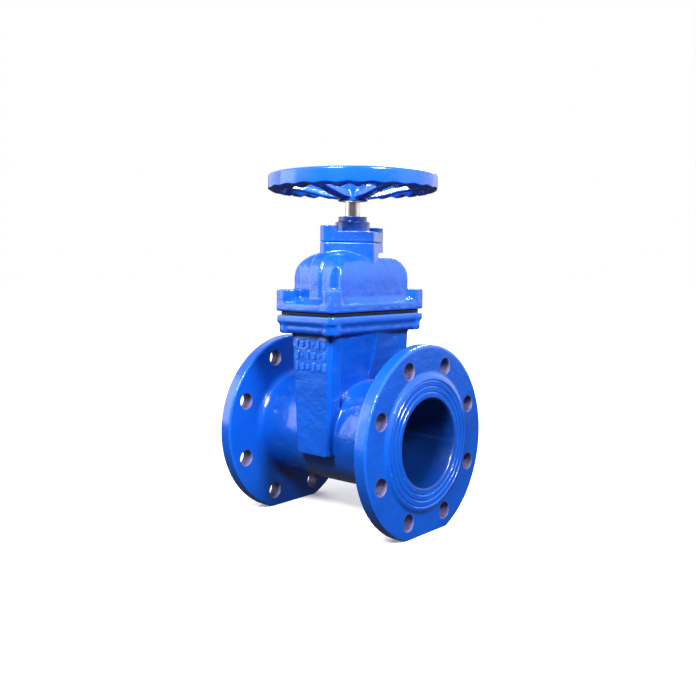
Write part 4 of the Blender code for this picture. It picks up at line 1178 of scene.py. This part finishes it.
def make_wedge():
    lifted = BORE_Z + TRAVEL
    inner = WEDGE_R - RUBBER_T - GAP
    half = WEDGE_X - CORE_INSET
    bm = bmesh.new()
    add_loft(bm, upright_rings(wedge_outline(inner, SHOULDER), half, 0.0008,
                               wedge_outline(inner - 0.0008, SHOULDER - 0.0008)))
    add_box(bm, (GAP - WEDGE_X, -HEAD_Y, lifted + HEAD_FOOT), (WEDGE_X - GAP, HEAD_Y, lifted + HEAD_TOP))
    add_box(bm, (-LUG_HALF_X, -LUG_REACH, lifted + LUG_FOOT), (LUG_HALF_X, LUG_REACH, lifted + LUG_HEAD))
    core = cast_in_one("wedge_casting", bm, WEDGE_GRAIN, 2)
    cuts = bmesh.new()
    add_turned(cuts, [(0.0, HOLLOW_FLOOR + TRAVEL), (THREAD_R + 0.001, HOLLOW_FLOOR + TRAVEL),
                      (THREAD_R + 0.001, HEAD_TOP + TRAVEL - 0.0010), (THREAD_R + 0.0022, HEAD_TOP + TRAVEL),
                      (THREAD_R + 0.0022, HEAD_TOP + TRAVEL + OVERRUN), (0.0, HEAD_TOP + TRAVEL + OVERRUN)],
               ROUND, upright())
    carve(core, cuts)
    carve_box(core, (-WEDGE_X - OVERRUN, -NUT_Y - GAP, lifted + NUT_FOOT - GAP),
              (WEDGE_X + OVERRUN, NUT_Y + GAP, lifted + NUT_TOP + GAP))
    shade(core)
    clothe(core, "gate", (EPOXY,), "cast_core", "wedge_core")

    bm = bmesh.new()
    add_loft(bm, upright_rings(wedge_outline(WEDGE_R, RUBBER_TOP), WEDGE_X, 0.0014,
                               wedge_outline(WEDGE_R - 0.0014, RUBBER_TOP)))
    rubber = object_from("wedge_jacket", bm)
    opening = bmesh.new()
    outline = wedge_outline(WEDGE_R - RUBBER_T, RUBBER_TOP + OVERRUN)
    reach = WEDGE_X + OVERRUN
    add_loft(opening, [[(x, y, up(z) + TRAVEL) for y, z in outline] for x in (-reach, reach)])
    carve(rubber, opening)
    carve_box(rubber, (-LUG_HALF_X - GAP, -WEDGE_R - OVERRUN, lifted + LUG_FOOT - GAP),
              (LUG_HALF_X + GAP, WEDGE_R + OVERRUN, lifted + RUBBER_TOP + OVERRUN))
    shade(rubber)
    clothe(rubber, "gate", (RUBBER,), "black_rubber", "wedge_rubber")

    bm = bmesh.new()
    half_x = WEDGE_X - NUT_INSET
    add_soft_box(bm, (-half_x, -NUT_Y, lifted + NUT_FOOT), (half_x, NUT_Y, lifted + NUT_TOP), 0.0006)
    nut = object_from("brass_nut", bm)
    thread = bmesh.new()
    stations = []
    low = NUT_FOOT + TRAVEL - OVERRUN
    reach = NUT_TOP - NUT_FOOT + 2 * OVERRUN
    count = round(reach / THREAD_PITCH * THREAD_STEPS)
    for i in range(count + 1):
        stations.append((low + reach * i / count,))
    add_skin(thread, stations, nut_radius, ROUND, upright())
    carve(nut, thread)
    shade(nut, 30.0)
    clothe(nut, "gate", (BRASS,), "brass", "wedge_nut")
    make_guide_shoes(lifted)


def make_guide_shoes(lifted):
    """Moulded caps over the wedge's lugs."""
    half_x = LUG_HALF_X + GAP + SHOE_WALL
    for name, side in (("guide_shoe_right", 1), ("guide_shoe_left", -1)):
        near, far = sorted((side * SHOE_INNER, side * SHOE_REACH))
        bm = bmesh.new()
        add_soft_box(bm, (-half_x, near, lifted + LUG_FOOT - GAP - SHOE_WALL),
                     (half_x, far, lifted + LUG_HEAD + GAP + SHOE_WALL), 0.0005)
        shoe = object_from(name.replace("guide", "moulded_guide"), bm)
        near, far = sorted((side * (SHOE_INNER - OVERRUN), side * (LUG_REACH + GAP)))
        carve_box(shoe, (-LUG_HALF_X - GAP, near, lifted + LUG_FOOT - GAP),
                  (LUG_HALF_X + GAP, far, lifted + LUG_HEAD + GAP))
        shade(shoe)
        clothe(shoe, "gate", (NYLON,), "nylon", name)


# ---------------------------------------------------------------- seals and fasteners
def one_piece(node, bm, body, material, slot, angle=38.0):
    piece = object_from(node + "_look", bm)
    shade(piece, angle)
    clothe(piece, body, (material,), slot, node)


def make_seals():
    for node, radius, thick, height in (
            ("stem_o_ring_lower", STEM_R + GAP + O_RING_R, O_RING_R, O_RING_HEIGHTS[0]),
            ("stem_o_ring_upper", STEM_R + GAP + O_RING_R, O_RING_R, O_RING_HEIGHTS[1]),
            ("gland_o_ring", GLAND_RING_R, GLAND_RING_T, PAD_TOP - GLAND_RING_T)):
        bm = bmesh.new()
        thin = thick * 0.98
        section = []
        for k in range(16):
            angle = math.pi * k / 8
            section.append((radius + thin * math.cos(angle), height + 0.85 * thin * math.sin(angle)))
        add_turned(bm, section, ROUND, upright(), closed=True)
        one_piece(node, bm, "housing", RUBBER, "black_rubber")
    rings = (
        ("thrust_washer_lower", SHANK_R + GAP, THRUST_R - GAP, THRUST_FLOOR + GAP, COLLAR_FOOT - GAP,
         NYLON, "nylon"),
        ("thrust_washer_upper", STEM_R + GAP, THRUST_R - GAP, COLLAR_TOP + GAP, THRUST_ROOF - GAP,
         NYLON, "nylon"),
        ("back_seal", SHANK_R + GAP / 2, BACK_SEAL_R - GAP, BACK_SEAL_FOOT + GAP, BACK_SEAL_TOP - GAP,
         RUBBER, "black_rubber"),
        ("dust_wiper", STEM_R + GAP / 2, WIPER_R, WIPER_FOOT, NECK_TOP - GAP, RUBBER, "black_rubber"),
    )
    for node, inner, outer, low, high, material, slot in rings:
        bm = bmesh.new()
        add_ring(bm, inner, outer, low, high, 0.0004)
        one_piece(node, bm, "housing", material, slot)


def hexagon(station, turn):
    """Six flats whose corners are turned off; the station's second number is the turned radius."""
    off = (turn + math.pi / 6) % (math.pi / 3) - math.pi / 6
    return min(HEX_HALF / math.cos(off), station[1])


def make_socket_screw(node, x, y, foot, seat, size):
    """A cap screw: rolled shank, knurled head with a rounded crown, hexagon socket."""
    shank, head, height, key = size["shank"], size["head"], size["height"], size["key"]
    bm = bmesh.new()
    stations = [(foot, shank - 0.0008, 0.0), (foot + 0.0008, shank, 0.0), (seat - 0.0003, shank, 0.0),
                (seat, shank + 0.0003, 0.0), (seat, head - 0.0004, 0.0), (seat + 0.0004, head, 0.0),
                (seat + 0.0012, head, 1.0), (seat + height - 0.0016, head, 1.0),
                (seat + height - 0.0010, head, 0.0), (seat + height - 0.0003, head - 0.0004, 0.0),
                (seat + height, head - 0.0010, 0.0)]

    def knurled(station, turn):
        return station[1] - station[2] * 0.00025 * (0.5 - 0.5 * math.cos(32 * turn))

    add_skin(bm, stations, knurled, 128, upright(x, y))
    screw = object_from(node + "_look", bm)
    socket_hole = bmesh.new()
    outline = [(x + key * math.cos(math.pi * k / 3), y + key * math.sin(math.pi * k / 3)) for k in range(6)]
    add_loft(socket_hole, [level(outline, seat + height / 2), level(outline, seat + height + OVERRUN)])
    carve(screw, socket_hole)
    shade(screw, 30.0)
    clothe(screw, "housing", (ZINC,), "zinc_steel", node)


def make_seal_plug(node, x, y, radius, top):
    """Wax poured over a screw head: a dished meniscus at the rim and a low wandering crown."""
    bm = bmesh.new()
    profile = [(top - SEAL_H, radius), (top - 0.0008, radius), (top - 0.0003, radius - 0.0003),
               (top - 0.0002, radius - 0.0009), (top - 0.0006, radius * 0.72), (top - 0.0003, radius * 0.40),
               (top - 0.0001, radius * 0.12)]
    add_skin(bm, profile, lambda station, turn: station[1], 32, upright(x, y))
    plug = object_from(node + "_look", bm)
    place = (x + y) * 40.0
    for vertex in plug.data.vertices:
        if vertex.co.z > up(top) - 0.0007:
            vertex.co.z -= 0.00012 * (1 + noise.noise(vertex.co / 0.003 + Vector((place, 0.0, 0.0))))
    shade(plug, 50.0)
    clothe(plug, "housing", (WAX,), "seal_wax", node)


def make_fasteners():
    seat = BOSS_TOP - SEAL_H - GAP - M10["height"]
    for number, (x, y) in enumerate(corners(SCREW_X, SCREW_Y), start=1):
        make_socket_screw("bonnet_bolt_%d" % number, x, y, BODY_TOP - M10_DEPTH, seat, M10)
        make_seal_plug("bonnet_bolt_seal_%d" % number, x, y, M10["head"], BOSS_TOP)
    seat = LUG_TOP - SEAL_H - GAP - M8["height"]
    for number, y in enumerate((LUG_Y, -LUG_Y), start=1):
        make_socket_screw("gland_bolt_%d" % number, 0.0, y, PAD_HOLE_FLOOR + GAP, seat, M8)
        make_seal_plug("gland_bolt_seal_%d" % number, 0.0, y, M8["head"], LUG_TOP)
    low = HUB_TOP + GAP
    bm = bmesh.new()
    add_ring(bm, WASHER_HOLE_R, WASHER_R, low, low + WASHER_T, 0.0003)
    one_piece("handwheel_washer", bm, "spindle", ZINC, "zinc_steel")
    seat = low + WASHER_T + GAP
    bm = bmesh.new()
    add_skin(bm, [(seat, HEX_HALF - 0.0003), (seat + 0.0004, HEX_HALF - 0.0003), (seat + 0.0005, HEX_R),
                  (seat + HEX_H - 0.0010, HEX_R), (seat + HEX_H, HEX_HALF - 0.0006)],
             hexagon, 96, upright())
    bolt = object_from("handwheel_bolt_look", bm)
    shank = bmesh.new()
    foot = STEM_TOP - HEX_BOLT_DEPTH
    add_turned(shank, [(0.0, foot), (M8["shank"] - 0.0006, foot), (M8["shank"], foot + 0.0006),
                       (M8["shank"], seat + 0.001), (0.0, seat + 0.001)], 32, upright())
    unite(bolt, shank)
    shade(bolt, 25.0)
    clothe(bolt, "spindle", (ZINC,), "zinc_steel", "handwheel_bolt")


# ---------------------------------------------------------------- floor, light and camera
def make_floor():
    """A pale disc that brightens into the backdrop far from the valve."""
    bm = bmesh.new()
    bmesh.ops.create_circle(bm, cap_ends=True, segments=96, radius=12.0)
    floor = object_from("floor", bm)
    floor.location = (0.0, 0.0, -0.0005)
    floor.visible_glossy = False
    floor.visible_diffuse = False
    material, tree, shader = new_finish("floor_white", (0.9, 0.9, 0.9))
    shader.inputs["Base Color"].default_value = (0.86, 0.86, 0.87, 1.0)
    shader.inputs["Roughness"].default_value = 0.8
    reach = tree.nodes.new("ShaderNodeVectorMath")
    reach.operation = "LENGTH"
    tree.links.new(object_space(tree), reach.inputs[0])
    glow = stretch(tree, reach.outputs["Value"], 0.4, 2.5, 0.25, 1.0)
    tree.links.new(mix_colours(tree, glow, (0.0, 0.0, 0.0), (1.0, 1.0, 1.0)), shader.inputs["Emission Color"])
    shader.inputs["Emission Strength"].default_value = 1.0
    floor.data.materials.append(material)


def area_light(name, place, width, height, power):
    light = bpy.data.lights.new(name, "AREA")
    light.shape = "RECTANGLE"
    light.size = width
    light.size_y = height
    light.energy = power
    item = bpy.data.objects.new(name, light)
    bpy.context.scene.collection.objects.link(item)
    item.location = place
    item.rotation_mode = "QUATERNION"
    item.rotation_quaternion = (Vector(LIGHT_TARGET) - Vector(place)).to_track_quat("-Z", "Y")


def make_world():
    """A white studio: bright walls at the sides and behind, a dim room behind the camera."""
    world = bpy.data.worlds.new("studio")
    world.use_nodes = True
    bpy.context.scene.world = world
    tree = world.node_tree
    background = tree.nodes["Background"]
    toward = tree.nodes.new("ShaderNodeTexCoord").outputs["Generated"]
    split = tree.nodes.new("ShaderNodeSeparateXYZ")
    tree.links.new(toward, split.inputs[0])
    height = split.outputs["Z"]
    along = math_node(tree, "ADD", math_node(tree, "MULTIPLY", split.outputs["X"], math.sin(CAMERA_AZIMUTH)),
                      math_node(tree, "MULTIPLY", split.outputs["Y"], -math.cos(CAMERA_AZIMUTH)))
    front = stretch(tree, along, 0.35, 0.75, 0.0, 1.0)
    behind = stretch(tree, along, -0.95, -0.80, 0.45, 1.0)
    walls = stretch(tree, height, 0.00, 0.10, 0.08, 1.0)
    walls = math_node(tree, "MULTIPLY", walls, stretch(tree, height, 0.45, 0.75, 1.0, 0.35))
    band = math_node(tree, "MULTIPLY", stretch(tree, height, -0.11, -0.05, 0.0, 1.0),
                     stretch(tree, height, 0.02, 0.09, 1.0, 0.0))
    level_light = math_node(tree, "ADD", walls, math_node(tree, "MULTIPLY", band, 0.8))
    side = math_node(tree, "SUBTRACT", 1.0, math_node(tree, "MULTIPLY", front, 0.78))
    side = math_node(tree, "MULTIPLY", side, behind)
    studio = math_node(tree, "MULTIPLY", level_light, side)
    rays = tree.nodes.new("ShaderNodeLightPath")
    seen = rays.outputs["Is Camera Ray"]
    gain = stretch(tree, rays.outputs["Is Diffuse Ray"], 0.0, 1.0, 1.3, 0.38)
    studio = math_node(tree, "MULTIPLY", studio, gain)
    unseen = math_node(tree, "SUBTRACT", 1.0, seen)
    strength = math_node(tree, "ADD", math_node(tree, "MULTIPLY", studio, unseen), seen)
    background.inputs["Color"].default_value = (1.0, 1.0, 1.0, 1.0)
    tree.links.new(strength, background.inputs["Strength"])


def make_lights():
    for light in LIGHTS:
        area_light(*light)


def make_camera():
    back = Vector((math.sin(CAMERA_AZIMUTH) * math.cos(CAMERA_HEIGHT),
                   -math.cos(CAMERA_AZIMUTH) * math.cos(CAMERA_HEIGHT), math.sin(CAMERA_HEIGHT)))
    right = Vector((math.cos(CAMERA_AZIMUTH), math.sin(CAMERA_AZIMUTH), 0.0))
    upward = back.cross(right)
    place = back * CAMERA_DISTANCE + right * CAMERA_ASIDE + upward * CAMERA_RAISED
    place += Vector((0.0, 0.0, BORE_Z))
    rolled_right = right * math.cos(CAMERA_ROLL) + upward * math.sin(CAMERA_ROLL)
    rolled_up = upward * math.cos(CAMERA_ROLL) - right * math.sin(CAMERA_ROLL)
    data = bpy.data.cameras.new("camera")
    data.sensor_width = SENSOR
    data.lens = LENS
    data.shift_y = SHIFT_Y
    data.clip_start = 0.01
    data.clip_end = 100.0
    camera = bpy.data.objects.new("camera", data)
    bpy.context.scene.collection.objects.link(camera)
    turn = Matrix((rolled_right, rolled_up, back)).transposed()
    camera.matrix_world = Matrix.Translation(place) @ turn.to_4x4()
    bpy.context.scene.camera = camera


# ---------------------------------------------------------------- the whole valve
make_camera()
make_world()
make_lights()
make_floor()
make_body()
make_bonnet()
make_gland()
make_gasket()
make_handwheel()
make_stem()
make_wedge()
make_seals()
make_fasteners()
bpy.context.scene.view_settings.view_transform = "Standard"
bpy.context.scene.view_settings.gamma = 0.88
